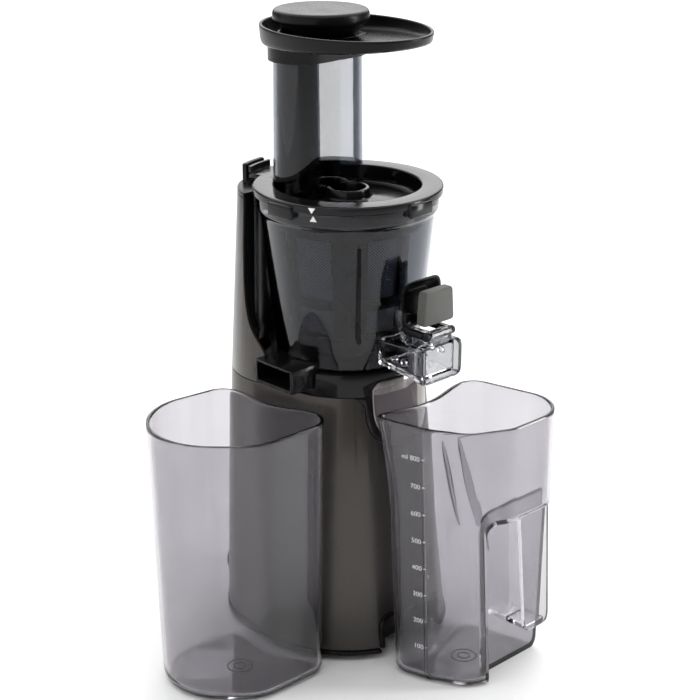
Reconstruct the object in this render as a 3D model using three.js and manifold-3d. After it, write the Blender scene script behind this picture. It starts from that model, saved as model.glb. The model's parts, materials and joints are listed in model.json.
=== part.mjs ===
// Upright slow juicer with a pulp container and a juice jug, as separate sub-parts.
// Millimetres, +Z up. The auger's axis is x = y = 0 while the pieces are built; the
// finished group is then moved so that its base's centre is the origin.
// -Y is the front, where the juice spout is. -X is the side of the pulp chute.
import * as THREE from "three";
import { mergeVertices } from "three/addons/utils/BufferGeometryUtils.js";
import Module from "manifold-3d";

const wasm = await Module();
wasm.setup();

// ---- driving dimensions ----
const GAP = 0.3; // clearance between neighbouring pieces
const PLATE_Z = [3.2, 6.6]; // base plate's faces
const SKIN_Z = [6.9, 179.2]; // lower body skin
const DECK_Z = 194.5; // top of the black deck the bowl stands on
const COLUMN_TOP = 299.7; // top of the rear column
const SKIN_WALL = 2.2;
const BODY_CENTRE = [0, 14]; // plan point the body's outline is swept about
// Plan of the body at three heights: front radius, then rear corner offset, radius and centre y.
const BODY_PLAN = [
  { z: 0, front: 66.5, cx: 14, rr: 48, cy: 36 },
  { z: 180, front: 50.5, cx: 14, rr: 44, cy: 33 },
  { z: 300, front: 50.5, cx: 8, rr: 42, cy: 33.5 },
];
const BAND_BACK = 17.8; // y where the black front band ends and the column cover begins
const COLUMN_INNER_R = 60.2; // hollow of the column that faces the bowl
const CUTOUT = { half: 26.8, bottom: 146, radius: 15 }; // U-shaped cut-out in the skin's front
const PLATE = { half: 23.6, low: 18, bottom: 149.6, top: 190 }; // shield plate in the cut-out
const ARCH = { half: 28, top: 31, radius: 9, border: 3 }; // arch at the foot of the front
const MOTOR = [0, 12]; // plan position of the motor's axis
const LAYSHAFT = [24.27, 6]; // plan position of the intermediate gear's axis
const BRUSH_GEARS = { auger: 28, idler: 8, ring: 44, module: 1.75, z: [204, 206.7] };
const IDLER = [0, 31.5]; // plan position of the idler between auger and brush
const BRUSH_BARS = [233, 53]; // degrees round the auger's axis
const LUG_ANGLES = [273, 3, 183]; // the lid's three bayonet lugs, in degrees
const GEAR_MODULE = 1.25;
const BOWL_Z = [195.9, 301.2];
const BOWL_FLOOR = [200.8, 203.5];
const LID_TOP = 306.4;
const LID_R = 60.5;
const TUBE = { y: 27, half: 15, r: 18, wall: 2.4, z: [295.9, 391.4] }; // feed tube, stadium plan
const TRAY = { y: 2.2, ry: 60.7, rx: 46.4, rim: 404.6, rear: 390.4, front: 398.4 };
const PUSHER = { y: 24, r: 30.6, z: [405.3, 413.5] };
const SPOUT = { mouth: -83.6, bottom: 196, top: 219.3, half: 17.4 };
const CAP_HINGE = [-80.2, 225.5]; // y and z of the juice cap's hinge
const CHUTE = { x: [-66, -24], half: 17.6, z: [184.6, 200.4], wall: 2 };
const CONTAINER_TOP = 176;
const CONTAINER_WALL = 2.3;
const DRAFT = 3.8; // how much the containers narrow toward their floor, per side
const GRIP = { front: -120, side: -1, top: 113, slant: 0.63, fall: -0.054 }; // jug's finger room

// ---- materials ----
const paint = (color, roughness, metalness = 0, opacity = 1) =>
  new THREE.MeshStandardMaterial({
    color,
    roughness,
    metalness,
    opacity,
    transparent: opacity < 1,
  });
const TITANIUM = () => paint(0x77726b, 0.35, 0.75);
const BLACK = () => paint(0x0c0c0d, 0.3);
const SATIN = () => paint(0x131314, 0.45);
const SMOKED = () => paint(0x5b5f6c, 0.08, 0, 0.35);
const TINTED = () => paint(0x8d8794, 0.08, 0, 0.35);
const STEEL = () => paint(0xb4b5b6, 0.3, 1);
const GUNMETAL = () => paint(0x6d6a68, 0.2, 1);
const SILICONE = () => paint(0x5c5c50, 0.7);
const RUBBER = () => paint(0x161616, 0.9);
const NYLON = () => paint(0xd9d6cc, 0.6);
const COPPER = () => paint(0xa5603a, 0.4, 0.9);

// ---- from three.js geometry to solids and back ----
function solid(geometry) {
  const bare = geometry.index ? geometry.toNonIndexed() : geometry.clone();
  bare.deleteAttribute("normal");
  bare.deleteAttribute("uv");
  const merged = mergeVertices(bare, 1e-3);
  return new wasm.Manifold(
    new wasm.Mesh({
      numProp: 3,
      vertProperties: merged.attributes.position.array,
      triVerts: new Uint32Array(merged.index.array),
    }),
  );
}

function surface(body) {
  const mesh = body.getMesh();
  const geometry = new THREE.BufferGeometry();
  const points = new THREE.BufferAttribute(new Float32Array(mesh.vertProperties), 3);
  geometry.setAttribute("position", points);
  geometry.setIndex(new THREE.BufferAttribute(new Uint32Array(mesh.triVerts), 1));
  geometry.computeVertexNormals();
  return geometry;
}

const join = (...bodies) => bodies.reduce((a, b) => a.add(b));
const cut = (body, ...tools) => tools.reduce((a, b) => a.subtract(b), body);

function block(x, y, z) {
  const g = new THREE.BoxGeometry(x[1] - x[0], y[1] - y[0], z[1] - z[0]);
  return solid(g.translate((x[0] + x[1]) / 2, (y[0] + y[1]) / 2, (z[0] + z[1]) / 2));
}

// A solid of revolution about +Z through (x, y); profile points are [radius, z].
function turned(profile, segments = 36, x = 0, y = 0) {
  const points = profile.map(([r, z]) => new THREE.Vector2(r, z));
  const g = new THREE.LatheGeometry(points, segments).rotateX(Math.PI / 2);
  const body = solid(g.translate(x, y, 0));
  return body.volume() < 0 ? solid(flipped(g)) : body;
}

function flipped(geometry) {
  const g = geometry.index ? geometry.toNonIndexed() : geometry.clone();
  const p = g.attributes.position;
  for (let i = 0; i < p.count; i += 3) {
    const a = new THREE.Vector3().fromBufferAttribute(p, i);
    const b = new THREE.Vector3().fromBufferAttribute(p, i + 1);
    p.setXYZ(i, b.x, b.y, b.z);
    p.setXYZ(i + 1, a.x, a.y, a.z);
  }
  return g;
}

const disc = (r, z, segments = 24, x = 0, y = 0) =>
  turned([[0, z[0]], [r, z[0]], [r, z[1]], [0, z[1]]], segments, x, y);

const tube = (inner, outer, z, segments = 32, x = 0, y = 0) =>
  turned(
    [[inner, z[0]], [outer, z[0]], [outer, z[1]], [inner, z[1]], [inner, z[0]]],
    segments, x, y,
  );

// A closed plan outline raised from z[0] to z[1].
function prism(points, z) {
  const shape = new THREE.Shape(points.map(([x, y]) => new THREE.Vector2(x, y)));
  const g = new THREE.ExtrudeGeometry(shape, { depth: z[1] - z[0], bevelEnabled: false });
  return solid(g.translate(0, 0, z[0]));
}

// A front-view outline (x, z) run along y.
function frontPrism(points, y) {
  const shape = new THREE.Shape(points.map(([x, z]) => new THREE.Vector2(x, z)));
  const g = new THREE.ExtrudeGeometry(shape, { depth: y[1] - y[0], bevelEnabled: false });
  return solid(g.rotateX(Math.PI / 2).translate(0, y[1], 0));
}

// A skin through rings of equal point counts, closed by fans at both ends.
function loft(rings) {
  const n = rings[0].length;
  const first = middle(rings[0]);
  const last = middle(rings[rings.length - 1]);
  const flat = [];
  const face = (...corners) => corners.forEach((c) => flat.push(...c));
  for (let i = 0; i < n; i++) {
    const j = (i + 1) % n;
    face(first, rings[0][j], rings[0][i]);
    face(last, rings[rings.length - 1][i], rings[rings.length - 1][j]);
    for (let k = 0; k + 1 < rings.length; k++) {
      face(rings[k][i], rings[k][j], rings[k + 1][j]);
      face(rings[k][i], rings[k + 1][j], rings[k + 1][i]);
    }
  }
  const g = new THREE.BufferGeometry();
  g.setAttribute("position", new THREE.BufferAttribute(new Float32Array(flat), 3));
  return solid(g);
}

function middle(ring) {
  const sum = ring.reduce((a, p) => [a[0] + p[0], a[1] + p[1], a[2] + p[2]], [0, 0, 0]);
  return sum.map((v) => v / ring.length);
}

// ---- plan outlines ----
// The outline round a set of circles [x, y, r], seen from centre, moved in by inset.
function roundCircles(circles, centre, inset = 0, count = 40) {
  const points = circles.flatMap(([x, y, r]) => circlePoints(x, y, r - inset));
  const hull = convexHull(points);
  const out = [];
  for (let i = 0; i < count; i++) out.push(leavingPoint(hull, centre, (i / count) * 2 * Math.PI));
  return out;
}

function circlePoints(x, y, r, count = 96) {
  const step = (2 * Math.PI) / count;
  return Array.from({ length: count }, (_, i) => [
    x + r * Math.cos(i * step),
    y + r * Math.sin(i * step),
  ]);
}

function convexHull(points) {
  const sorted = [...points].sort((a, b) => a[0] - b[0] || a[1] - b[1]);
  const turn = (o, a, b) => (a[0] - o[0]) * (b[1] - o[1]) - (a[1] - o[1]) * (b[0] - o[0]);
  const chain = (list) => {
    const out = [];
    for (const p of list) {
      while (out.length > 1 && turn(out[out.length - 2], out[out.length - 1], p) <= 0) out.pop();
      out.push(p);
    }
    return out.slice(0, -1);
  };
  return [...chain(sorted), ...chain(sorted.reverse())];
}

function leavingPoint(hull, [cx, cy], angle) {
  const dx = Math.cos(angle);
  const dy = Math.sin(angle);
  for (let i = 0; i < hull.length; i++) {
    const a = hull[i];
    const b = hull[(i + 1) % hull.length];
    const ex = b[0] - a[0];
    const ey = b[1] - a[1];
    const bottom = dx * ey - dy * ex;
    const t = ((a[0] - cx) * ey - (a[1] - cy) * ex) / bottom;
    const s = ((a[0] - cx) * dy - (a[1] - cy) * dx) / bottom;
    if (bottom > 0 && t > 0 && s >= -1e-9 && s <= 1 + 1e-9) return [cx + t * dx, cy + t * dy];
  }
  throw new Error("the centre lies outside the outline");
}

const mix = (a, b, t) => a + (b - a) * t;

function bodyPlan(z) {
  const above = BODY_PLAN.find((level) => level.z >= z) ?? BODY_PLAN[2];
  const below = BODY_PLAN[Math.max(0, BODY_PLAN.indexOf(above) - 1)];
  const t = above.z === below.z ? 0 : (z - below.z) / (above.z - below.z);
  const at = (key) => mix(below[key], above[key], t);
  return [[0, 0, at("front")], [at("cx"), at("cy"), at("rr")], [-at("cx"), at("cy"), at("rr")]];
}

const bodyRing = (z, inset) =>
  roundCircles(bodyPlan(z), BODY_CENTRE, inset).map(([x, y]) => [x, y, z]);

// The body's outer form between two heights, moved in by inset.
function bodyForm(z, inset = 0) {
  const knees = [180].filter((h) => h > z[0] + 5 && h < z[1] - 5);
  const heights = [z[0], ...knees, z[1]];
  return loft(heights.map((h) => bodyRing(h, inset)));
}

// Two half circles joined by straight sides, centred on the feed tube's axis.
function stadium(grow, y = TUBE.y, half = TUBE.half, r = TUBE.r, steps = 7) {
  const cap = (side) =>
    Array.from({ length: steps + 1 }, (_, i) => {
      const a = Math.PI * (i / steps - 0.5);
      return [side * (half + (r + grow) * Math.cos(a)), y + side * (r + grow) * Math.sin(a)];
    });
  return [...cap(1), ...cap(-1)];
}

// A rectangle with rounded corners, as points.
function rounded(x, y, r, steps = 3) {
  const corners = [[x[1] - r, y[0] + r, -90], [x[1] - r, y[1] - r, 0],
    [x[0] + r, y[1] - r, 90], [x[0] + r, y[0] + r, 180]];
  return corners.flatMap(([cx, cy, start]) =>
    Array.from({ length: steps + 1 }, (_, i) => {
      const a = ((start + (90 * i) / steps) * Math.PI) / 180;
      return [cx + r * Math.cos(a), cy + r * Math.sin(a)];
    }),
  );
}

// ---- the scene graph ----
const machine = new THREE.Group();

function put(name, body, material) {
  const mesh = new THREE.Mesh(surface(body), material);
  mesh.name = name;
  machine.add(mesh);
}

// ---- base ----
const archOpening = (grow, z0, y) =>
  frontPrism(
    rounded([-ARCH.half - grow, ARCH.half + grow], [z0, ARCH.top + grow], ARCH.radius + grow), y,
  );
const FEET = [[-36, 56], [36, 56], [-44, -20], [44, -20]];
const SCREWS = [[-24, 68], [24, 68], [-50, 6], [50, 6]];

function buildBase() {
  let plate = loft([bodyRing(PLATE_Z[0], 0.4), bodyRing(PLATE_Z[0] + 1, -0.9),
    bodyRing(PLATE_Z[1], -0.9)]);
  plate = cut(plate, archOpening(0, -20, [-90, -46]));
  for (const [x, y] of SCREWS)
    plate = cut(plate, disc(1.9, [0, 9], 12, x, y), disc(4.1, [0, 4.9], 12, x, y));
  for (let i = -2; i <= 2; i++)
    plate = cut(plate, block([-20, 20], [i * 8 + 12.4, i * 8 + 15.6], [0, 9]));
  put("base_plate", plate, BLACK());
  FEET.forEach(([x, y], i) => {
    const profile = [[0, 0], [6.5, 0], [7.5, 0.8], [7.5, PLATE_Z[0] - GAP], [0, PLATE_Z[0] - GAP]];
    put(`foot_${i + 1}`, turned(profile, 18, x, y), RUBBER());
  });
  SCREWS.forEach(([x, y], i) => {
    const profile = [[0, 3.4], [3.7, 3.4], [3.7, 4.6], [1.6, 4.6], [1.6, 12], [0, 13]];
    put(`base_screw_${i + 1}`, turned(profile, 10, x, y), STEEL());
  });
}

// A black border that lines the arch and closes the recess behind it.
function buildArchTrim() {
  const z = [SKIN_Z[0], ARCH.top + 8];
  const outside = bodyForm(z, -0.6);
  const zone = archOpening(0 - GAP, -20, [-90, -30]);
  const hole = archOpening(-ARCH.border, -20, [-90, -52]);
  put("arch_trim", cut(outside.intersect(zone), hole), SATIN());
}

// ---- skins ----
const uPoints = (half, low, bottom, top, r) => {
  const points = [[half, top], [-half, top], [-half, bottom + r * 1.3]];
  for (let i = 1; i <= 5; i++) {
    const a = (Math.PI / 2) * (i / 5);
    points.push([-low - (half - low) * Math.cos(a), bottom + r * 1.3 * (1 - Math.sin(a))]);
  }
  return [...points, ...points.slice(2).reverse().map(([x, z]) => [-x, z])];
};
function cutoutTool(grow, y = [-90, -20]) {
  const { half, bottom, radius } = CUTOUT;
  const u = uPoints(half + grow, 12, bottom - grow, 171, radius).slice(2);
  const flare = [[half + grow + 0.8, 174.5], [half + grow + 3, 177.4], [half + grow + 6, 179.4]];
  const left = flare.map(([x, z]) => [-x, z]).reverse();
  const top = [[half + 6 + grow, 260], [-half - 6 - grow, 260]];
  return frontPrism([...top, ...left, ...u, ...flare], y);
}

function buildLowerShell() {
  let skin = cut(bodyForm(SKIN_Z), bodyForm([0, SKIN_Z[1] + 1], SKIN_WALL));
  skin = cut(skin, cutoutTool(0), archOpening(0, -20, [-90, -20]));
  skin = cut(skin, block([-14.3, 14.3], [60, 100], [51.7, 74.3]));
  skin = cut(skin, yCylinder(6.3, [60, 100], -28, 22));
  put("lower_shell", skin, TITANIUM());
}

// A cylinder along y.
function yCylinder(r, y, x, z, segments = 20) {
  const g = new THREE.CylinderGeometry(r, r, y[1] - y[0], segments);
  return solid(g.translate(x, (y[0] + y[1]) / 2, z));
}

// A cylinder along x.
function xCylinder(r, x, y, z, segments = 18) {
  const g = new THREE.CylinderGeometry(r, r, x[1] - x[0], segments).rotateZ(Math.PI / 2);
  return solid(g.translate((x[0] + x[1]) / 2, y, z));
}

// The side view of what lies in front of the column cover's sweeping front edge.
function coverFront(setback) {
  const edge = [[-90, 100], [BAND_BACK, 100], [BAND_BACK, 192], [BAND_BACK + 1, 197],
    [BAND_BACK + 5, 203], [BAND_BACK + 11, 209], [BAND_BACK + 17, 217], [BAND_BACK + 21, 228],
    [BAND_BACK + 24, 245], [BAND_BACK + 26, 270], [BAND_BACK + 27, 310], [-90, 310]];
  const shape = new THREE.Shape(edge.map(([y, z]) => new THREE.Vector2(y + setback, z)));
  const g = new THREE.ExtrudeGeometry(shape, { depth: 200, bevelEnabled: false });
  g.rotateZ(Math.PI / 2).rotateY(Math.PI / 2).translate(-100, 0, 0);
  return solid(g);
}

function buildColumnCover() {
  const z = [SKIN_Z[1] + GAP, COLUMN_TOP - 3];
  let cover = cut(bodyForm(z), bodyForm([0, 320], SKIN_WALL));
  cover = cut(cover, coverFront(0));
  put("column_cover", cover, TITANIUM());
}

// Deck, front band and the hollow wall behind the bowl, in one black moulding.
function buildInnerHousing() {
  const bandZ = [SKIN_Z[1] + GAP, DECK_Z];
  const front = block([-90, 90], [-90, BAND_BACK - GAP], [150, 330]);
  const behind = block([-90, 90], [BAND_BACK - GAP, 120], [150, 330]);
  const flush = bodyForm(bandZ).intersect(front);
  const inner = bodyForm([160, 330], SKIN_WALL + GAP).intersect(behind);
  const seat = block([-90, 90], [-20, 120], [bandZ[0], COLUMN_TOP - 3.3]);
  let column = cut(inner.intersect(seat), disc(COLUMN_INNER_R, [DECK_Z, 330], 32));
  column = cut(column, coverFront(1.2));
  const deck = join(flush, inner.intersect(block([-90, 90], [-20, 120], bandZ)));
  const hollow = cut(
    bodyForm([150, 320], SKIN_WALL + GAP + 2.4),
    block([-90, 90], [-90, 120], [DECK_Z - 2.6, 330]),
  );
  const back = cut(
    bodyForm([150, COLUMN_TOP - 5.9], SKIN_WALL + GAP + 2.4), disc(COLUMN_INNER_R + 2.4, [150, 330], 32),
    coverFront(3.6),
  );
  let body = cut(join(deck, column), hollow, back);
  body = join(body, channel(CHUTE.wall + 0.6));
  body = cut(body, channelRoom(), disc(9.4, [180, 200], 32));
  put("inner_housing", body, BLACK());
}

const channelRoom = () =>
  block([-90, CHUTE.x[1] + 0.8], [-CHUTE.half - 0.6, CHUTE.half - 0.2], [CHUTE.z[0] - 0.5, 240]);

function channel(wall) {
  const outer = block(
    [-80, CHUTE.x[1] + 0.8 + wall], [-CHUTE.half - 0.6 - wall, CHUTE.half - 0.2 + wall],
    [CHUTE.z[0] - 0.5 - wall, DECK_Z - 1],
  );
  return outer.intersect(bodyForm([160, 220], SKIN_WALL));
}

function buildColumnCap() {
  const z = [COLUMN_TOP - 2.7, COLUMN_TOP];
  let cap = cut(bodyForm(z, 0), disc(COLUMN_INNER_R, [280, 330], 32));
  cap = cut(cap, coverFront(0));
  const hood = tube(70.6, 74.2, [COLUMN_TOP - 1, 311.6], 32).intersect(
    block([-29, -8], [40, 90], [290, 330]),
  );
  put("column_cap", join(cap, hood), BLACK());
}

// ---- front trim and plate ----
function buildFrontTrim() {
  const z = [CUTOUT.bottom - 2, SKIN_Z[1]];
  const band = cut(bodyForm(z, 0), bodyForm([100, 220], SKIN_WALL));
  put("front_trim", band.intersect(cutoutTool(-GAP)), BLACK());
}

function buildFrontPlate() {
  const z = [PLATE.bottom, PLATE.top];
  const shell = cut(bodyForm(z, -1.9), bodyForm([100, 220], -0.35));
  const face = frontPrism(
    [...uPoints(PLATE.half, PLATE.low - 8, PLATE.bottom, PLATE.top - 8, 16).slice(2),
      ...arc(PLATE.half - 8, PLATE.top - 8, 8, 0, 90),
      ...arc(-PLATE.half + 8, PLATE.top - 8, 8, 90, 180)],
    [-90, -20],
  );
  put("front_plate", shell.intersect(face), GUNMETAL());
}

function arc(x, z, r, from, to, steps = 4) {
  return Array.from({ length: steps + 1 }, (_, i) => {
    const a = ((from + ((to - from) * i) / steps) * Math.PI) / 180;
    return [x + r * Math.cos(a), z + r * Math.sin(a)];
  });
}

// ---- motor and gears ----
// A spur gear: trapezoid teeth about (x, y), with the first tooth at angle start.
function gear(teeth, [x, y], z, bore, start, module = GEAR_MODULE) {
  const pitch = (teeth * module) / 2;
  const share = [[-0.3, -1.05], [-0.11, 0.75], [0.11, 0.75], [0.3, -1.05]];
  const points = [];
  for (let i = 0; i < teeth; i++)
    for (const [side, height] of share) {
      const a = start + ((i + side) / teeth) * 2 * Math.PI;
      const r = pitch + height * module;
      points.push([x + r * Math.cos(a), y + r * Math.sin(a)]);
    }
  const wheel = prism(points, z);
  return bore ? cut(wheel, disc(bore, [z[0] - 1, z[1] + 1], 10, x, y)) : wheel;
}

const bearingOf = (from, to) => Math.atan2(to[1] - from[1], to[0] - from[0]);

function buildMotor() {
  const [x, y] = MOTOR;
  const stack = tube(23.4, 40, [42, 84], 32, x, y);
  put("motor_stator", stack, STEEL());
  const winding = (z) =>
    turned([[27, z[0]], [36, z[0]], [38, z[0] + 3], [38, z[1] - 3], [36, z[1]], [27, z[1]],
      [27, z[0]]], 20, x, y);
  put("winding_lower", winding([30, 41.7]), COPPER());
  put("winding_upper", winding([84.3, 96]), COPPER());
  const rotor = tube(4.3, 22.6, [40, 86], 28, x, y);
  put("motor_rotor", rotor, STEEL());
  put("motor_shaft", disc(4, [16, 121.4], 20, x, y), STEEL());
  buildFan(x, y);
  const bracket = (z, lift) => {
    let plate = prism(rounded([x - 43, x + 43], [y - 34, y + 34], 12), z);
    plate = cut(plate, disc(4.5, [z[0] - 1, z[1] + 1], 24, x, y));
    for (const [px, py] of [[-36, -26], [36, -26], [-36, 26], [36, 26]])
      plate = join(plate, disc(3.5, lift, 10, x + px, y + py));
    return plate;
  };
  put("motor_bracket_lower", bracket([24, 27], [6.9, 26]), STEEL());
  put("motor_bracket_upper", bracket([99, 102], [27.3, 101]), STEEL());
}

function buildFan(x, y) {
  let fan = tube(4.3, 9, [12, 21.5], 24, x, y);
  const blade = (a) => {
    const g = new THREE.BoxGeometry(23, 1.4, 9).rotateX(0.5).translate(19, 0, 17);
    return solid(g.rotateZ(a).translate(x, y, 0));
  };
  for (let i = 0; i < 6; i++) fan = join(fan, blade((i / 6) * 2 * Math.PI));
  put("motor_fan", fan, NYLON());
}

const gearOutline = (grow) =>
  roundCircles([[0, 0, 23 + grow], [...LAYSHAFT, 23 + grow], [...MOTOR, 23 + grow]], [8, 6], 0, 28);

function buildGearbox() {
  const floor = 107;
  let tub = cut(prism(gearOutline(2.6), [floor, 137.6]), prism(gearOutline(0), [floor + 3, 150]));
  tub = cut(tub, disc(4.6, [90, 120], 24, ...MOTOR), disc(3.1, [90, 120], 20, ...LAYSHAFT));
  put("gearbox_housing", tub, NYLON());
  let cover = prism(gearOutline(2.6), [138, 141]);
  cover = join(cover, tube(10.4, 13.5, [140, 151], 20));
  cover = cut(cover, disc(10.4, [130, 160], 20), disc(3.1, [130, 160], 20, ...LAYSHAFT));
  put("gearbox_cover", cover, NYLON());
  const toLay = bearingOf(MOTOR, LAYSHAFT);
  const toOut = bearingOf(LAYSHAFT, [0, 0]);
  put("motor_pinion", gear(10, MOTOR, [111, 120], 4.25, toLay), STEEL());
  const half = (teeth) => Math.PI / teeth;
  put("stage_gear", gear(30, LAYSHAFT, [112, 119.5], 3.3, toLay + Math.PI + half(30)), NYLON());
  put("stage_pinion", gear(10, LAYSHAFT, [120, 133.5], 3.3, toOut), STEEL());
  put("layshaft", disc(3, [106, 141.5], 20, ...LAYSHAFT), STEEL());
  put("output_gear", gear(30, [0, 0], [122, 131.5], 6.6, toOut + Math.PI + half(30)), NYLON());
}

const hexagon = (across) =>
  Array.from({ length: 6 }, (_, i) => [
    (across / Math.sqrt(3)) * Math.cos((i * Math.PI) / 3),
    (across / Math.sqrt(3)) * Math.sin((i * Math.PI) / 3),
  ]);

function buildDriveShaft() {
  const shaft = turned([[0, 121.5], [6, 121.5], [6, 197], [5, 198.6], [0, 198.6]], 28);
  put("drive_shaft", join(shaft, prism(hexagon(8.4), [190, 222])), STEEL());
  put("shaft_bearing", tube(6.3, 10, [141, 150.4], 20), STEEL());
  const lip = turned([[6.3, 186], [9.1, 186], [9.1, 194.9], [12, 194.9], [12, 195.6], [6.3, 195.6],
    [6.3, 186]], 18);
  put("shaft_seal", lip, SILICONE());
}

// ---- electrics ----
function buildElectrics() {
  let board = block([-46, -44.4], [-6, 44], [34, 88]);
  board = join(board, block([-44.5, -41.6], [2, 14], [46, 60]), block([-44.5, -42], [22, 34], [58, 76]));
  put("control_board", board, paint(0x2c5a34, 0.6));
  const sensor = block([-22, -8], [63.4, 67], [286, 293.4]);
  put("interlock_sensor", sensor, SATIN());
  let bezel = block([-16, 16], [82.5, 84.4], [50, 76]);
  bezel = join(bezel, block([-14, 14], [66, 83], [52, 74]));
  bezel = cut(bezel, block([-10.5, 10.5], [68, 90], [54.5, 71.5]));
  put("switch_bezel", bezel, SATIN());
  const rocker = xCylinder(6.6, [-10.1, 10.1], 77.6, 63, 20);
  const paddle = block([-10.1, 10.1], [77.6, 84.8], [57.6, 68.4]);
  put("switch_rocker", join(rocker, paddle), BLACK());
  const flange = join(yCylinder(6, [62, 85], -28, 22), yCylinder(8.2, [83.2, 85.8], -28, 22));
  put("cord_inlet", cut(flange, yCylinder(3.4, [50, 90], -28, 22, 20)), SATIN());
}

// ---- bowl ----
function box8(y0, rect0, y1, rect1) {
  const ring = (y, [x0, x1, z0, z1]) => [[x0, y, z0], [x1, y, z0], [x1, y, z1], [x0, y, z1]];
  return loft([ring(y1, rect1), ring(y0, rect0)]);
}

const BOWL_WALL = [[47, 206], [55.6, 289.5], [58, 292]];

function buildBowl() {
  const profile = [[46.6, BOWL_Z[0]], ...BOWL_WALL, [58, BOWL_Z[1]], [54.9, BOWL_Z[1]],
    [53, 288], [44.7, 206.5], [43.9, BOWL_FLOOR[1]], [13, BOWL_FLOOR[1]],
    [12.2, 209.6], [9.8, 209.6], [9.8, BOWL_FLOOR[0]], [43.9, BOWL_FLOOR[0]], [44, BOWL_Z[0]],
    [46.6, BOWL_Z[0]]];
  let bowl = turned(profile, 32);
  const past = [-SPOUT.half + 1.4, SPOUT.half - 1.4, 199.4, 217.6];
  const rim = [-SPOUT.half, SPOUT.half, SPOUT.bottom, SPOUT.top];
  let spout = box8(SPOUT.mouth, rim, -40, past);
  spout = join(spout, frontPrism(
    rounded([rim[0] - 1.2, rim[1] + 1.2], [rim[2] - 1.2, rim[3] + 1.2], 6, 5),
    [SPOUT.mouth - 0.2, SPOUT.mouth + 7]));
  spout = cut(join(spout, capEar()), padRoom());
  spout = cut(spout, turned([[0, 190], [46, 197], [47, 206], [49, 225], [0, 225]], 32));
  bowl = join(bowl, spout);
  bowl = cut(bowl, box8(SPOUT.mouth - 2, [-14, 14, 198.6, 216.6], -36, [-12.8, 12.8, 203.5, 214.4]));
  bowl = cut(bowl, block([-52, -36], [-CHUTE.half - 0.6, CHUTE.half - 0.2], [180, BOWL_FLOOR[0]]));
  bowl = cut(bowl, block([-41.5, -28], [-9, 9], [198, 206]));
  put("juice_bowl", join(bowl, disc(2, [BOWL_FLOOR[1] - 1, 206.3], 12, ...IDLER)), SMOKED());
}

// The recess in the spout's mouth that the cap's pad swings into.
const padRoom = () =>
  cut(xCylinder(29.2, [-14.7, 14.7], ...CAP_HINGE, 48), xCylinder(6.1, [-15, 15], ...CAP_HINGE, 24))
    .intersect(block([-14.7, 14.7], [-96, CAP_HINGE[0] + 0.6], [190, CAP_HINGE[1] + 1]));

// The block on the spout's top that carries the cap's pin.
const capEar = () =>
  cut(
    join(
      xCylinder(3.4, [-8.6, 8.6], ...CAP_HINGE, 16),
      block([-8.6, 8.6], [CAP_HINGE[0] - 3, CAP_HINGE[0] + 3.4], [217, CAP_HINGE[1]]),
    ),
    xCylinder(1.9, [-10, 10], ...CAP_HINGE, 14),
  );

function buildChute() {
  const w = CHUTE.wall;
  const y = [-CHUTE.half, CHUTE.half - 0.8];
  let chute = block(CHUTE.x, y, CHUTE.z);
  chute = cut(chute, block([CHUTE.x[0] - 5, CHUTE.x[1] - w], [y[0] + w, y[1] - w],
    [CHUTE.z[0] + w, CHUTE.z[1] - w]));
  chute = cut(chute, block([-41.5, -28], [-9, 9], [195, 206]));
  put("pulp_chute", chute, BLACK());
}

// Front-view points set upright at y, in the order loft wants from back to front.
const standing = (points, y) => points.map(([x, z]) => [x, y, z]);

// The cap stands open: a flared dish on two arms, with a pad on a block in its middle.
function buildCap() {
  const [y, z] = CAP_HINGE;
  const dish = cut(
    loft([standing(rounded([-11.5, 11.5], [z + 7.6, z + 26.8], 5), y + 22),
      standing(rounded([-17.4, 17.4], [z + 2.8, z + 32.4], 7), y + 14.6)]),
    loft([standing(rounded([-10.1, 10.1], [z + 9, z + 25.4], 4.4), y + 19.8),
      standing(rounded([-16.2, 16.2], [z + 4, z + 31.2], 6.2), y + 14.2)]),
  );
  let cap = join(
    dish,
    frontPrism(rounded([-9, 9], [z + 10, z + 24.4], 3), [y + 6.6, y + 20.5]),
    xCylinder(1.6, [-12, 12], y, z, 14),
  );
  for (const x of [[-12.6, -9], [9, 12.6]])
    cap = join(
      cap,
      xCylinder(2.6, x, y, z, 16),
      block(x, [y, y + 18], [z - 2, z + 2]),
      block(x, [y + 14.9, y + 18], [z - 2, z + 6.6]),
    );
  put("juice_cap", cap, BLACK());
  const pad = [[-13.8, z + 8.6], [-12.2, z + 26.6], [-10.2, z + 28.6], [10.2, z + 28.6],
    [12.2, z + 26.6], [13.8, z + 8.6], [11.8, z + 6.6], [-11.8, z + 6.6]];
  put("cap_pad", frontPrism(pad, [y - 0.3, y + 6.4]), SILICONE());
}

function buildBowlSeal() {
  const profile = [[13.4, 203.8], [15.4, 203.8], [15.4, 206], [14.2, 207.4], [13.4, 207.4],
    [13.4, 203.8]];
  put("bowl_seal", turned(profile, 20), SILICONE());
}

// ---- strainer, brush and auger ----
const strainerR = (z) => mix(35.2, 40.8, (z - 208) / (290 - 208));

function windowTool(z, from, to) {
  const a = (from * Math.PI) / 180;
  const b = (to * Math.PI) / 180;
  const far = 60;
  const m = (a + b) / 2;
  const points = [[20 * Math.cos(a), 20 * Math.sin(a)], [far * Math.cos(a), far * Math.sin(a)],
    [far * 1.15 * Math.cos(m), far * 1.15 * Math.sin(m)], [far * Math.cos(b), far * Math.sin(b)],
    [20 * Math.cos(b), 20 * Math.sin(b)]];
  return prism(points, z);
}

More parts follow.
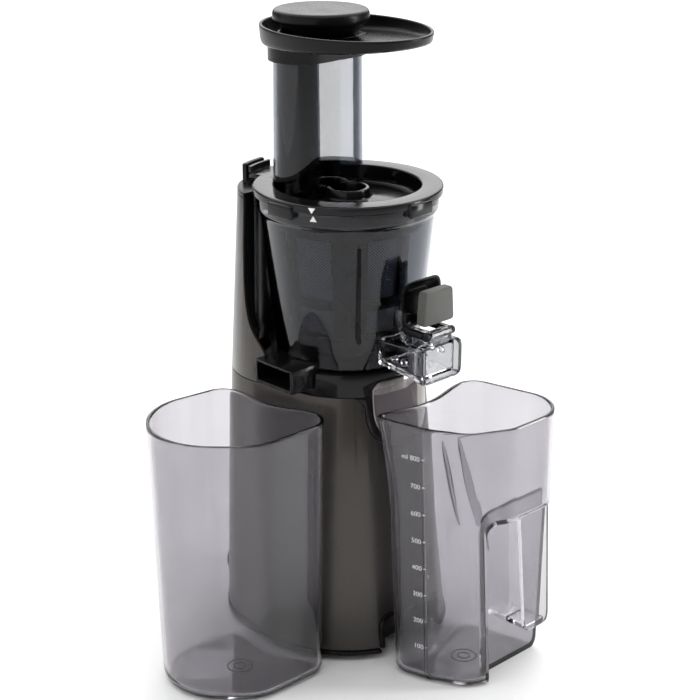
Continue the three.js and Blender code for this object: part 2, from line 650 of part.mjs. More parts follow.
function buildStrainer() {
  const cone = (inner, outer, z) =>
    turned([[strainerR(z[0]) + inner, z[0]], [strainerR(z[0]) + outer, z[0]],
      [strainerR(z[1]) + outer, z[1]], [strainerR(z[1]) + inner, z[1]],
      [strainerR(z[0]) + inner, z[0]]], 30);
  let frame = join(
    cone(-2, 0, [207, 289]),
    cone(-2, 1.4, [285, 289]),
  );
  for (let i = 0; i < 5; i++) {
    const from = 238 + i * 72;
    frame = cut(frame, windowTool([239, 281], from, from + 45));
    frame = cut(frame, windowTool([216, 232], from, from + 45));
  }
  put("strainer_frame", frame, BLACK());
  put("strainer_mesh", cone(-3.1, -2.3, [213, 284]), STEEL());
}

// The auger's gear turns the idler, and the idler turns the ring gear under the brush.
function buildIdler() {
  const { idler, module, z } = BRUSH_GEARS;
  put("idler_gear", gear(idler, IDLER, z, 2.3, -Math.PI / 2 + Math.PI / idler, module), NYLON());
}

function ringGear() {
  const { ring, module, z } = BRUSH_GEARS;
  const teeth = ringTeeth(ring, module, IDLER);
  return cut(disc(42.3, [z[0], 207.3], 32), prism(teeth, [z[0] - 1, 209]));
}

// The inner outline of a ring gear that has a tooth facing the idler.
function ringTeeth(count, module, [x, y]) {
  const pitch = (count * module) / 2;
  const start = Math.atan2(y, x);
  const share = [[-0.3, -0.8], [-0.22, 1.05], [0.22, 1.05], [0.3, -0.8]];
  return Array.from({ length: count }, (_, i) => i).flatMap((i) =>
    share.map(([side, height]) => {
      const a = start + ((i + 0.5 + side) / count) * 2 * Math.PI;
      const r = pitch + height * module;
      return [r * Math.cos(a), r * Math.sin(a)];
    }),
  );
}

function buildBrush() {
  const R = (z) => strainerR(z) + 2.2;
  const ring = (z, thick) =>
    turned([[R(z[0]), z[0]], [R(z[0]) + thick, z[0]], [R(z[1]) + thick, z[1]], [R(z[1]), z[1]],
      [R(z[0]), z[0]]], 32);
  let holder = join(ring([207.1, 215], 4.2), ring([281, 288.4], 4.6), ringGear());
  const bar = (angle) => {
    const wall = ring([208, 287], 3.6);
    const strip = new THREE.BoxGeometry(30, 13, 86).translate(40, 0, 247);
    return wall.intersect(solid(strip.rotateZ((angle * Math.PI) / 180)));
  };
  for (const angle of BRUSH_BARS) holder = join(holder, bar(angle));
  for (const angle of BRUSH_BARS) {
    const slot = new THREE.BoxGeometry(30, 2.4, 62).translate(40, 0, 248);
    holder = cut(holder, solid(slot.rotateZ((angle * Math.PI) / 180)));
  }
  put("brush_holder", holder, BLACK());
  BRUSH_BARS.forEach((angle, i) => {
    const blade = new THREE.BoxGeometry(30, 1.8, 61.4).translate(40, 0, 248);
    const inner = turned([[0, 200], [R(200) - 0.6, 200], [R(292) - 0.6, 292], [0, 292]], 32);
    const outer = turned([[0, 200], [R(200) + 5.6, 200], [R(292) + 7.3, 292], [0, 292]], 32);
    const strip = solid(blade.rotateZ((angle * Math.PI) / 180));
    put(`wiper_blade_${i + 1}`, cut(strip.intersect(outer), inner), SILICONE());
  });
}

// The screw: a core with one helical flight that tightens its hold towards the bottom.
function buildAuger() {
  const rows = 18;
  const around = 20;
  const z = [216, 289.6];
  const rings = [];
  for (let k = 0; k <= rows; k++) {
    const t = k / rows;
    const h = mix(z[0], z[1], t);
    rings.push(Array.from({ length: around }, (_, i) => augerPoint((i / around) * 2 * Math.PI, h, t)));
  }
  const base = turned([[0, 212.6], [31.6, 212.6], [31.6, 217], [0, 217]], 32);
  const skirt = tube(20, 30.6, [207.1, 213], 28);
  const { auger: teeth, module, z: gearZ } = BRUSH_GEARS;
  const toIdler = Math.atan2(IDLER[1], IDLER[0]);
  const driver = gear(teeth, [0, 0], [gearZ[0] + 0.1, 207.4], 20, toIdler, module);
  const pin = disc(5, [289, 295], 20);
  let auger = join(loft(rings), base, skirt, driver, pin);
  auger = cut(auger, prism(hexagon(12.2), [200, 223.6]), disc(8.4, [200, 211], 28));
  put("auger", auger, BLACK());
  put("auger_socket", cut(prism(hexagon(11.6), [212.9, 223.2]), prism(hexagon(9), [200, 222.6])),
    STEEL());
}

function augerPoint(angle, h, t) {
  const core = mix(21, 9.5, Math.min(1, t * 1.12));
  const reach = strainerR(h) - 3.9;
  const turns = 1.9 * t ** 0.85;
  const phase = ((angle / (2 * Math.PI) - turns) % 1 + 1) % 1;
  const crest = Math.max(0, 1 - Math.abs(phase - 0.5) / 0.16);
  const fade = Math.min(1, (1 - t) * 7);
  const r = mix(core, reach, Math.min(1, crest * 1.6) * fade);
  return [r * Math.cos(angle), r * Math.sin(angle), h];
}

// ---- lid ----
function buildLid() {
  const profile = [[0, 297.4], [10.4, 297.4], [11, 303.8], [13.6, 303.8], [14.6, 297.6],
    [45, 295.4], [46.6, LID_TOP], [59.7, LID_TOP], [LID_R, LID_TOP - 0.9], [LID_R, 301.5],
    [52.9, 301.5], [52.5, 292.2], [50.4, 292.2], [50, 293], [9, 293], [8.4, 290], [5.7, 290],
    [5.7, 295.4], [0, 295.4]];
  let lid = turned(profile, 32);
  const ear = tube(52, 69.4, [302.2, LID_TOP], 32).intersect(
    block([-28, -6], [20, 90], [300, 309]),
  );
  const lip = tube(66.8, 69.4, [LID_TOP - 1, 310.4], 32).intersect(
    block([-28, -6], [20, 90], [300, 312]),
  );
  lid = join(lid, ear, lip);
  lid = cut(lid, prism(stadium(-TUBE.wall), [280, 330]), prism(stadium(GAP), [295.6, 330]));
  lid = cut(lid, block([-20.2, -11.8], [55.8, 60], [300, 304.6]));
  for (const a of LUG_ANGLES) lid = join(lid, bayonetLug(a));
  put("lid", lid, BLACK());
  put("lid_magnet", block([-19.9, -12.1], [56.1, 59.7], [302.2, 304.3]), STEEL());
  put("lid_gasket", turned([[50.6, 288.6], [52.4, 288.9], [52.6, 291.8], [50.6, 291.8],
    [50.6, 288.6]], 30), SILICONE());
}

// A lug that hangs from the lid's rim over the bowl's collar.
function bayonetLug(degrees) {
  const g = new THREE.BoxGeometry(3.8, 20, 8.4).translate(LID_R - 0.2, 0, 300.4);
  return solid(g.rotateZ((degrees * Math.PI) / 180));
}

function buildFeedTube() {
  const z = TUBE.z;
  const ring = (h, grow) => stadium(grow).map(([x, y]) => [x, y, h]);
  const outer = loft([ring(z[0], 0), ring(z[1], -0.9)]);
  const inner = loft([ring(z[0] - 1, -TUBE.wall + 0.2), ring(z[1] + 1, -TUBE.wall - 0.7)]);
  put("feed_tube", cut(outer, inner), SMOKED());
}

// ---- hopper tray and pusher ----
const ellipse = (grow, z, count = 36) =>
  Array.from({ length: count }, (_, i) => {
    const a = (i / count) * 2 * Math.PI;
    const y = TRAY.y + (TRAY.ry + grow) * Math.sin(a);
    const t = (y - TRAY.y + TRAY.ry) / (2 * TRAY.ry);
    const slope = Math.min(1, Math.max(0, t)) ** 0.7;
    const height = z === "rim" ? TRAY.rim : mix(TRAY.front, TRAY.rear, slope) + z;
    return [(TRAY.rx + grow) * Math.cos(a), y, height];
  });

function buildTray() {
  const outer = loft([ellipse(-3.4, 0), ellipse(-1.2, 1.4), ellipse(0, "rim")]);
  const inner = loft([ellipse(-4.4, 2.6), ellipse(-2.2, "rim").map(lifted)]);
  let tray = join(outer, prism(stadium(2.4), [383, 396]));
  tray = cut(tray, inner, prism(stadium(GAP), [370, 391.6]), prism(stadium(-TUBE.wall - 0.4), [370, 420]));
  put("hopper_tray", tray, SATIN());
}
const lifted = ([x, y, z]) => [x, y, z + 2];

function buildPusher() {
  const r = PUSHER.r;
  const [low, high] = PUSHER.z;
  const cap = turned([[0, low], [r - 1.4, low], [r, low + 1.2], [r - 0.4, high - 2], [r - 2, high - 0.4],
    [r - 4, high], [0, high]], 28, 0, PUSHER.y);
  const fit = stadium(-TUBE.wall - 1.6);
  const neck = turned([[0, 398], [23, 398], [28.6, low + 0.2], [0, low + 0.2]], 28, 0, PUSHER.y);
  const top = prism(fit, [384, 400]);
  const main = prism(fit, [299, 386]).intersect(block([-60, -9], [-20, 80], [290, 400]));
  const leg = prism(rounded([3.4, 12], [19, 27.6], 2), [300, 386]);
  const toe = prism(fit, [297.6, 301.2]);
  let pusher = join(cap, neck, top, main, leg, toe);
  pusher = cut(pusher, prism(stadium(-TUBE.wall - 3.8), [303.5, 410]).intersect(
    block([-60, -11.4], [-20, 80], [290, 408])));
  pusher = cut(pusher, disc(4, [290, 310], 20, -20, TUBE.y));
  put("pusher", pusher, SATIN());
}

// ---- containers ----
// Corner circles of the pulp container's rim, and of the jug's.
const PULP = {
  centre: [-107.5, -2.5],
  circles: () => [[-84.5, 28.5, 15], [-75.5, -33.5, 16], [-110.5, 2.5, 44], [-105.5, -10.5, 38.5]],
  dent: { at: [-65, -1.5], dir: [0.985, 0.17], half: 32, depth: 6.5 },
  lean: [-0.3, -2.5], // how far the floor stands off the rim's centre
  knees: [],
};
const JUG = {
  centre: [14, -95.5],
  circles: (z) => {
    const lip = Math.max(0, (z - 110) / 66) ** 1.6;
    return [[mix(-21, -31.5, lip), mix(-77.5, -67, lip), mix(15, 6, lip)], [-11, -94.2, 20],
      [-3.4, -108.8, 20], [13, -116.7, 20], [37, -110.4, 26.5], [42, -74.4, 14.5]];
  },
  dent: { at: [2, -60.5], dir: [0, 1], half: 44, depth: 7.5 },
  lean: [-1.4, -5],
  knees: [110, 145],
};

function vesselRing(vessel, z, inset, count = 40) {
  const { at, dir, half, depth } = vessel.dent;
  const fall = 1 - z / CONTAINER_TOP;
  const circles = vessel.circles(z);
  const plan = roundCircles(circles, vessel.centre, inset + DRAFT * fall, count);
  return plan.map(([x, y]) => {
    const along = -(x - at[0]) * dir[1] + (y - at[1]) * dir[0];
    const onSide = (x - vessel.centre[0]) * dir[0] + (y - vessel.centre[1]) * dir[1] > 0;
    const inside = onSide && Math.abs(along) < half;
    const hollow = inside ? depth * Math.cos((along / half) * (Math.PI / 2)) ** 2 : 0;
    const [dx, dy] = vessel.lean.map((v) => v * fall);
    return [x - dir[0] * hollow + dx, y - dir[1] * hollow + dy, z];
  });
}

function vesselForm(vessel, from, to, inset, edge) {
  const heights = [from + edge * 1.8, ...vessel.knees, to];
  const foot = [vesselRing(vessel, from, inset + edge),
    vesselRing(vessel, from + edge * 0.5, inset + edge * 0.3)];
  return loft([...foot, ...heights.map((z) => vesselRing(vessel, z, inset))]);
}

function buildPulpContainer() {
  const outer = vesselForm(PULP, 0, CONTAINER_TOP, 0, 5);
  const inner = vesselForm(PULP, 3, CONTAINER_TOP + 4, CONTAINER_WALL, 4);
  put("pulp_container", cut(outer, inner), TINTED());
}

// Room for the fingers behind the jug's grip. Its left wall slants back and outward.
function gripRoom(grow) {
  const outline = rounded([-grow, 120], [-140, GRIP.top + grow], 11 + grow, 4);
  const shape = new THREE.Shape(outline.map(([x, z]) => new THREE.Vector2(x, z)));
  const g = new THREE.ExtrudeGeometry(shape, { depth: 60, bevelEnabled: false });
  g.rotateX(Math.PI / 2).translate(0, grow, -GRIP.top);
  g.applyMatrix4(new THREE.Matrix4().makeShear(0, 0, GRIP.slant, 0, GRIP.fall, 0));
  return solid(g.translate(GRIP.side, GRIP.front, GRIP.top));
}

function buildJug() {
  const outer = vesselForm(JUG, 0, CONTAINER_TOP, 0, 5);
  const room = gripRoom(CONTAINER_WALL);
  const inner = cut(vesselForm(JUG, 3, CONTAINER_TOP + 4, CONTAINER_WALL, 4), room);
  const blade = frontPrism(
    [[15.8, 115], [23.6, 38], [24.5, 33], [28, 30], [44, 30], [46.4, 32], [47, 36], [42.5, 115]],
    [-138, -135],
  );
  const foot = block([27, 44], [-138, GRIP.front + 2], [30, 33.4]);
  put("juice_jug", join(cut(outer, room.intersect(gripRoom(0)), inner), blade, foot), TINTED());
}

// ---- assembly ----
buildBase();
buildArchTrim();
buildLowerShell();
buildColumnCover();
buildInnerHousing();
buildColumnCap();
buildFrontTrim();
buildFrontPlate();
buildMotor();
buildGearbox();
buildDriveShaft();
buildElectrics();
buildBowl();
buildChute();
buildCap();
buildBowlSeal();
buildStrainer();
buildBrush();
buildIdler();
buildAuger();
buildLid();
buildFeedTube();
buildTray();
buildPusher();
buildPulpContainer();
buildJug();

// The origin is the centre of the bounding box's bottom.
const bounds = new THREE.Box3().setFromObject(machine);
const middlePoint = bounds.getCenter(new THREE.Vector3());
machine.position.set(-middlePoint.x, -middlePoint.y, -bounds.min.z);

export default machine;
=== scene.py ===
import json
import math

import bmesh
import bpy
import numpy as np
from mathutils import Matrix, Vector

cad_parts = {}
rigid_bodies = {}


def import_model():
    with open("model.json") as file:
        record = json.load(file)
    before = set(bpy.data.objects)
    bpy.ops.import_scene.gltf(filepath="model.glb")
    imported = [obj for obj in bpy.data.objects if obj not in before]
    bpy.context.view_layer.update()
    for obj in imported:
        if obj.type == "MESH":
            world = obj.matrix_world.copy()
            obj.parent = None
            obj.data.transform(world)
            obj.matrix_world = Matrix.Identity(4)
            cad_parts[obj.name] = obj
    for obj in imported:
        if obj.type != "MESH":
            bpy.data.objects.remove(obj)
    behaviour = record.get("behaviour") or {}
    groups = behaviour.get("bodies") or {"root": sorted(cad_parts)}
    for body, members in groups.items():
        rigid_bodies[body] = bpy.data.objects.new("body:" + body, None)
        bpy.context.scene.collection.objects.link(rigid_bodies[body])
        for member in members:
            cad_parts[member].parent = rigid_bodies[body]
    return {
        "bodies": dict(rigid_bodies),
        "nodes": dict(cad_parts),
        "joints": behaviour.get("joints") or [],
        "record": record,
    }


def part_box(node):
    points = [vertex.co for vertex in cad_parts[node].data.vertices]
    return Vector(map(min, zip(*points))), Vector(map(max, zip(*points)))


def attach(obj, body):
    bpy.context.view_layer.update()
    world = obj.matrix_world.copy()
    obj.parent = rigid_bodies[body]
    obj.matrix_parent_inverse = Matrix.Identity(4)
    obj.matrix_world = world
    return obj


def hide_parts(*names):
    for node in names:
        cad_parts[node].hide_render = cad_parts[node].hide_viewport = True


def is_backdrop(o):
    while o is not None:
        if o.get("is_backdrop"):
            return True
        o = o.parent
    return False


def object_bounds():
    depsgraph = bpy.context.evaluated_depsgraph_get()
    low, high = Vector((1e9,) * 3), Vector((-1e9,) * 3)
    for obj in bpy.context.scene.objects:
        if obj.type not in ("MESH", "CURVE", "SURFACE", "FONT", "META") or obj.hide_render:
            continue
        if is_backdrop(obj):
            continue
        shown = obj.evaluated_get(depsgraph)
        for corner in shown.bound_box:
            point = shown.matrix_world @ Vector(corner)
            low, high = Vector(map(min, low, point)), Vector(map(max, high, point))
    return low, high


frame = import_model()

CAD_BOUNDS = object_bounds()
MM = 0.001
LOW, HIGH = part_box("drive_shaft")
AXIS = ((LOW.x + HIGH.x) / 2, (LOW.y + HIGH.y) / 2)


def at(x, y, z):
    return Vector((AXIS[0] + x * MM, AXIS[1] + y * MM, z * MM))


def reach(node):
    """Lowest and highest corner of a CAD node in the design's millimetres."""
    low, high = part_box(node)
    shift = Vector((AXIS[0], AXIS[1], 0))
    return (low - shift) / MM, (high - shift) / MM


# ---- driving dimensions ----
SKIN_WALL = 2.2
SKIN_LOW, SKIN_TOP = reach("lower_shell")[0].z, reach("lower_shell")[1].z
DECK_Z = 194.5
COLUMN_TOP = 299.7
BODY_CENTRE = (0, 14)
BODY_LEVELS = ((0, 66.5, 14, 48, 36), (180, 50.5, 14, 44, 33), (300, 50.5, 8, 42, 33.5))
BAND_BACK = 17.8
COLUMN_INNER_R = 60.2
CUTOUT_HALF, CUTOUT_LOW = 26.8, 146
PLATE_HALF, PLATE_LOW, PLATE_TOP = 23.6, 149.6, 190
ARCH_HALF, ARCH_TOP, ARCH_R = 28, 31, 9
BOWL_LOW, BOWL_TOP = 195.9, 301.2
LID_TOP, LID_R = 306.4, 60.5
TUBE_Y, TUBE_HALF, TUBE_R, TUBE_WALL = 27, 15, 18, 2.4
TRAY_Y, TRAY_RY, TRAY_RX, TRAY_RIM = 2.2, 60.7, 46.4, 404.6
TRAY_REAR, TRAY_FRONT = 390.4, 398.4
PUSHER_Y, PUSHER_R = 24, 30.6
SPOUT_MOUTH, SPOUT_LOW, SPOUT_TOP, SPOUT_HALF = -83.6, 196, 219.3, 17.4
HINGE_Y, HINGE_Z = -80.2, 225.5
STRAINER_WINDOWS, WINDOW_START, WINDOW_TURN = 5, 238.7, 45
BRUSH_BARS = (233, 53.3)
CONTAINER_TOP, CONTAINER_WALL, CONTAINER_DRAFT = 176, 2.3, 3.8


# ---- paths and rings ----
def mix(a, b, t):
    return a + (b - a) * t


def eased(points, radius=0.0, closed=True, steps=4):
    """Rounds a path's corners. A point may carry its own radius as a third number."""
    out = []
    count = len(points)
    for i, p in enumerate(points):
        r = p[2] if len(p) > 2 else radius
        here = Vector(p[:2])
        if r <= 0 or (not closed and i in (0, count - 1)):
            out.append(here)
            continue
        before = Vector(points[i - 1][:2]) - here
        after = Vector(points[(i + 1) % count][:2]) - here
        a = here + before.normalized() * min(r, before.length * 0.49)
        b = here + after.normalized() * min(r, after.length * 0.49)
        for k in range(steps + 1):
            t = k / steps
            out.append(a * (1 - t) ** 2 + here * 2 * t * (1 - t) + b * t * t)
    return [tuple(v) for v in out]


def rectangle(x, y, radius, steps=6):
    corners = [(x[0], y[0]), (x[1], y[0]), (x[1], y[1]), (x[0], y[1])]
    return eased(corners, radius, steps=steps)


def around(circles, centre, inset, count):
    """The outline round a set of circles (x, y, r), sampled evenly in angle about centre."""
    turns = np.linspace(-math.pi, math.pi, 1440, endpoint=False)
    ways = np.stack([np.cos(turns), np.sin(turns)], -1)
    spots = np.array([c[:2] for c in circles], float)
    radii = np.array([c[2] for c in circles], float) - inset
    best = np.argmax(ways @ spots.T + radii, 1)
    hull = spots[best] + ways * radii[best][:, None] - np.array(centre, float)
    angles = np.unwrap(np.arctan2(hull[:, 1], hull[:, 0]))
    hull = np.vstack([hull, hull[:1]])
    angles = np.append(angles, angles[0] + 2 * math.pi)
    out = []
    for i in range(count):
        a = 2 * math.pi * i / count
        a += 2 * math.pi * math.ceil((angles[0] - a) / (2 * math.pi))
        k = min(np.searchsorted(angles, a, side="right"), len(hull) - 1)
        p, q = hull[k - 1], hull[k]
        d, e = np.array([math.cos(a), math.sin(a)]), q - p
        cross = d[0] * e[1] - d[1] * e[0]
        far = (p[0] * e[1] - p[1] * e[0]) / cross if abs(cross) > 1e-12 else np.hypot(*p)
        out.append((centre[0] + far * d[0], centre[1] + far * d[1]))
    return out


def body_circles(z):
    """The three circles that span the body's plan at a height."""
    first = 0 if z <= 180 else 1
    low, high = BODY_LEVELS[first:first + 2]
    t = (z - low[0]) / (high[0] - low[0])
    front, cx, rr, cy = (mix(low[k], high[k], t) for k in range(1, 5))
    return [(0, 0, front), (cx, cy, rr), (-cx, cy, rr)]


def body_ring(z, inset):
    return [(x, y, z) for x, y in around(body_circles(z), BODY_CENTRE, inset, 180)]


def circle(r, z, x=0, y=0, count=144):
    step = 2 * math.pi / count
    return [(x + r * math.cos(i * step), y + r * math.sin(i * step), z) for i in range(count)]


def stadium(grow, z):
    """The feed tube's outline, offset by grow: two half circles and two flats."""
    out = []
    for side in (1, -1):
        for i in range(25):
            a = math.pi * (i / 24 - 0.5)
            out.append((side * (TUBE_HALF + (TUBE_R + grow) * math.cos(a)),
                        TUBE_Y + side * (TUBE_R + grow) * math.sin(a), z))
    return out


# ---- solids ----
def raw(name, points, faces):
    mesh = bpy.data.meshes.new(name)
    mesh.from_pydata([at(*p) for p in points], [], faces)
    obj = bpy.data.objects.new(name, mesh)
    bpy.context.scene.collection.objects.link(obj)
    outward(obj)
    return obj


def outward(obj):
    net = bmesh.new()
    net.from_mesh(obj.data)
    bmesh.ops.remove_doubles(net, verts=net.verts, dist=1e-6)
    bmesh.ops.recalc_face_normals(net, faces=net.faces)
    net.to_mesh(obj.data)
    net.free()


def loft(name, rings, closed=False):
    """A skin through rings of equal counts: capped at both ends, or closed on itself."""
    n, m = len(rings[0]), len(rings)
    faces = []
    for k in range(m if closed else m - 1):
        a, b = k * n, ((k + 1) % m) * n
        faces += [(a + i, a + (i + 1) % n, b + (i + 1) % n, b + i) for i in range(n)]
    if not closed:
        faces += [tuple(range(n - 1, -1, -1)), tuple(range((m - 1) * n, m * n))]
    return raw(name, [p for ring in rings for p in ring], faces)


def turned(name, profile, radius=0.5, x=0, y=0, count=144, closed=True):
    """A solid of revolution. profile is (r, z), rounded at its corners."""
    path = eased(profile, radius, closed)
    return loft(name, [circle(r, z, x, y, count) for r, z in path], closed)


def upright(name, outline, y, edge=0.0):
    """A front-view outline (x, z) run along y, with its two rims eased by edge."""
    spots = [(y[0], edge), (y[0] + edge * 0.3, edge * 0.3), (y[0] + edge, 0),
             (y[1] - edge, 0), (y[1] - edge * 0.3, edge * 0.3), (y[1], edge)]
    if edge == 0:
        spots = [(y[0], 0), (y[1], 0)]
    return loft(name, [[(x, d, z) for x, z in shrunk(outline, e)] for d, e in spots])


def shrunk(outline, amount):
    """Moves each point of a convex outline inward."""
    if amount == 0:
        return outline
    out = []
    for i, p in enumerate(outline):
        a, b = Vector(outline[i - 1]), Vector(outline[(i + 1) % len(outline)])
        way = (b - a).normalized()
        out.append((p[0] - way.y * amount, p[1] + way.x * amount))
    return out


def slab(name, outline, z):
    """A plan outline (x, y) raised between two heights."""
    return loft(name, [[(x, y, h) for x, y in outline] for h in z])


def sideways(name, outline, x):
    """A side-view outline (y, z) run along x."""
    return loft(name, [[(d, y, z) for y, z in outline] for d in x])


def block(name, x, y, z, edge=0.0):
    obj = slab(name, [(x[0], y[0]), (x[1], y[0]), (x[1], y[1]), (x[0], y[1])], z)
    if edge:
        bevel(obj, edge)
        settle(obj)
    return obj


def swung(obj, angle):
    """Turns a solid's mesh about the machine's axis by an angle in degrees."""
    turn = Matrix.Rotation(math.radians(angle), 4, "Z")
    centre = Matrix.Translation(at(0, 0, 0))
    obj.data.transform(centre @ turn @ centre.inverted())
    return obj


def rod(name, r, x, y, z, count=48):
    """A cylinder along x."""
    step = 2 * math.pi / count
    ring = [(y + r * math.cos(i * step), z + r * math.sin(i * step)) for i in range(count)]
    return sideways(name, ring, x)


# ---- joining, cutting and edges ----
def settle(obj):
    graph = bpy.context.evaluated_depsgraph_get()
    mesh = bpy.data.meshes.new_from_object(obj.evaluated_get(graph))
    obj.modifiers.clear()
    obj.data = mesh


def combine(obj, operation, tools):
    for tool in tools:
        step = obj.modifiers.new(operation, "BOOLEAN")
        step.operation = operation
        step.solver = "EXACT"
        step.object = tool
        settle(obj)
        bpy.data.objects.remove(tool)
    return obj


def cut(obj, *tools):
    return combine(obj, "DIFFERENCE", tools)


def join(obj, *tools):
    return combine(obj, "UNION", tools)


def common(obj, *tools):
    return combine(obj, "INTERSECT", tools)


def bevel(obj, width):
    step = obj.modifiers.new("edge", "BEVEL")
    step.width = width * MM
    step.segments = 2
    step.limit_method = "ANGLE"
    step.angle_limit = math.radians(35)
    step.use_clamp_overlap = False
    step.harden_normals = False
    return obj


def dress(obj, body, look, nodes=(), edge=0.0, sharp=32):
    """Gives a finished piece its edges, material, body and the CAD nodes it stands for."""
    if edge:
        bevel(obj, edge)
        settle(obj)
    obj.name = obj.name.split(".")[0].replace(" ", "_") + "_shown"
    for polygon in obj.data.polygons:
        polygon.use_smooth = True
    obj.data.set_sharp_from_angle(angle=math.radians(sharp))
    obj.data.materials.clear()
    obj.data.materials.append(look())
    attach(obj, body)
    if nodes:
        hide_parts(*nodes)
    return obj


# ---- materials ----
MADE = {}


def material(name, slot):
    """Turns a function that fills in a node tree into a look, made once and shared."""
    def wrap(fill):
        def look():
            if name not in MADE:
                made = bpy.data.materials.new(name)
                made.use_nodes = True
                fill(made.node_tree, made.node_tree.nodes["Principled BSDF"])
                MADE[name] = made
            return MADE[name]
        look.slot = slot
        return look
    return wrap


def fixed(shader, **values):
    names = {"metallic": "Metallic", "rough": "Roughness", "ior": "IOR", "coat": "Coat Weight",
             "coat_rough": "Coat Roughness", "through": "Transmission Weight",
             "colour": "Base Color", "sheen": "Sheen Weight", "level": "Specular IOR Level"}
    for key, value in values.items():
        shader.inputs[names[key]].default_value = value


def noise(tree, per_mm, detail=3.0, stretch=(1, 1, 1)):
    """A noise whose features are about 1 / per_mm millimetres wide."""
    spot = tree.nodes.new("ShaderNodeTexCoord")
    place = tree.nodes.new("ShaderNodeMapping")
    place.inputs["Scale"].default_value = stretch
    grain = tree.nodes.new("ShaderNodeTexNoise")
    grain.inputs["Scale"].default_value = per_mm / MM
    grain.inputs["Detail"].default_value = detail
    tree.links.new(spot.outputs["Object"], place.inputs["Vector"])
    tree.links.new(place.outputs["Vector"], grain.inputs["Vector"])
    return grain.outputs["Fac"]


def spread(tree, source, low, high, start=0.3, end=0.7):
    """Maps a texture's middle range to a value between low and high."""
    step = tree.nodes.new("ShaderNodeMapRange")
    step.inputs["From Min"].default_value = start
    step.inputs["From Max"].default_value = end
    step.inputs["To Min"].default_value = low
    step.inputs["To Max"].default_value = high
    tree.links.new(source, step.inputs["Value"])
    return step.outputs["Result"]


def blend(tree, source, first, second, start=0.3, end=0.7):
    step = tree.nodes.new("ShaderNodeMix")
    step.data_type = "RGBA"
    step.inputs[6].default_value = (*first, 1)
    step.inputs[7].default_value = (*second, 1)
    tree.links.new(spread(tree, source, 0, 1, start, end), step.inputs[0])
    return step.outputs[2]


def dent(tree, shader, source, depth):
    """Raises the surface by a texture; depth is in millimetres."""
    step = tree.nodes.new("ShaderNodeBump")
    step.inputs["Distance"].default_value = depth * MM
    step.inputs["Strength"].default_value = 1
    tree.links.new(source, step.inputs["Height"])
    tree.links.new(step.outputs["Normal"], shader.inputs["Normal"])


def paint(tree, shader, source, colours, rough=None, *span):
    """Colour, and roughness where it is given, follow a texture."""
    tree.links.new(blend(tree, source, *colours, *span), shader.inputs["Base Color"])
    if rough:
        tree.links.new(spread(tree, source, *rough, *span), shader.inputs["Roughness"])


def finish_with(tree, shader, colours, rough, fine, broad, depth):
    """Colour and roughness wander with a broad noise; a fine one gives the surface its grain."""
    paint(tree, shader, noise(tree, broad), colours, rough)
    dent(tree, shader, noise(tree, fine, 2.0), depth)


@material("titanium paint", "titanium_paint")
def titanium(tree, shader):
    fixed(shader, metallic=0.75, coat=0.35, coat_rough=0.12)
    flakes = noise(tree, 3.2, 1.0)
    paint(tree, shader, flakes, ((0.041, 0.036, 0.032), (0.070, 0.063, 0.056)))
    tree.links.new(spread(tree, noise(tree, 0.03), 0.3, 0.38), shader.inputs["Roughness"])
    dent(tree, shader, noise(tree, 1.4, 2.0), 0.012)


@material("black gloss", "black_gloss")
def gloss(tree, shader):
    fixed(shader, coat=0.12, coat_rough=0.03, level=0.2)
    finish_with(tree, shader, ((0.003, 0.003, 0.0035), (0.006, 0.006, 0.0065)), (0.12, 0.2),
                0.5, 0.04, 0.008)


@material("black satin", "black_satin")
def satin(tree, shader):
    fixed(shader, level=0.16)
    finish_with(tree, shader, ((0.0035, 0.0035, 0.004), (0.007, 0.007, 0.0075)), (0.24, 0.32),
                2.6, 0.05, 0.03)


@material("smoked clear", "smoked_clear")
def smoked(tree, shader):
    fixed(shader, through=1.0, rough=0.03, ior=1.42, level=0.4)
    paint(tree, shader, noise(tree, 0.03), ((0.17, 0.185, 0.22), (0.205, 0.22, 0.255)))
    dent(tree, shader, noise(tree, 0.05, 1.0), 0.02)


@material("smoked thick", "smoked_clear")
def smoked_thick(tree, shader):
    fixed(shader, through=1.0, rough=0.03, ior=1.46)
    paint(tree, shader, noise(tree, 0.03), ((0.40, 0.405, 0.425), (0.46, 0.465, 0.485)))
    dent(tree, shader, noise(tree, 0.08, 1.0), 0.03)


@material("tinted clear", "tinted_clear")
def tinted(tree, shader):
    fixed(shader, through=1.0, rough=0.02, ior=1.49)
    paint(tree, shader, noise(tree, 0.02), ((0.545, 0.53, 0.56), (0.595, 0.58, 0.61)))
    dent(tree, shader, noise(tree, 0.04, 1.0), 0.02)


@material("brushed steel", "steel")
def steel(tree, shader):
    fixed(shader, metallic=1.0)
    lines = noise(tree, 1.2, 3.0, (1, 1, 0.04))
    paint(tree, shader, lines, ((0.46, 0.46, 0.47), (0.62, 0.62, 0.63)), (0.22, 0.36))
    dent(tree, shader, lines, 0.02)


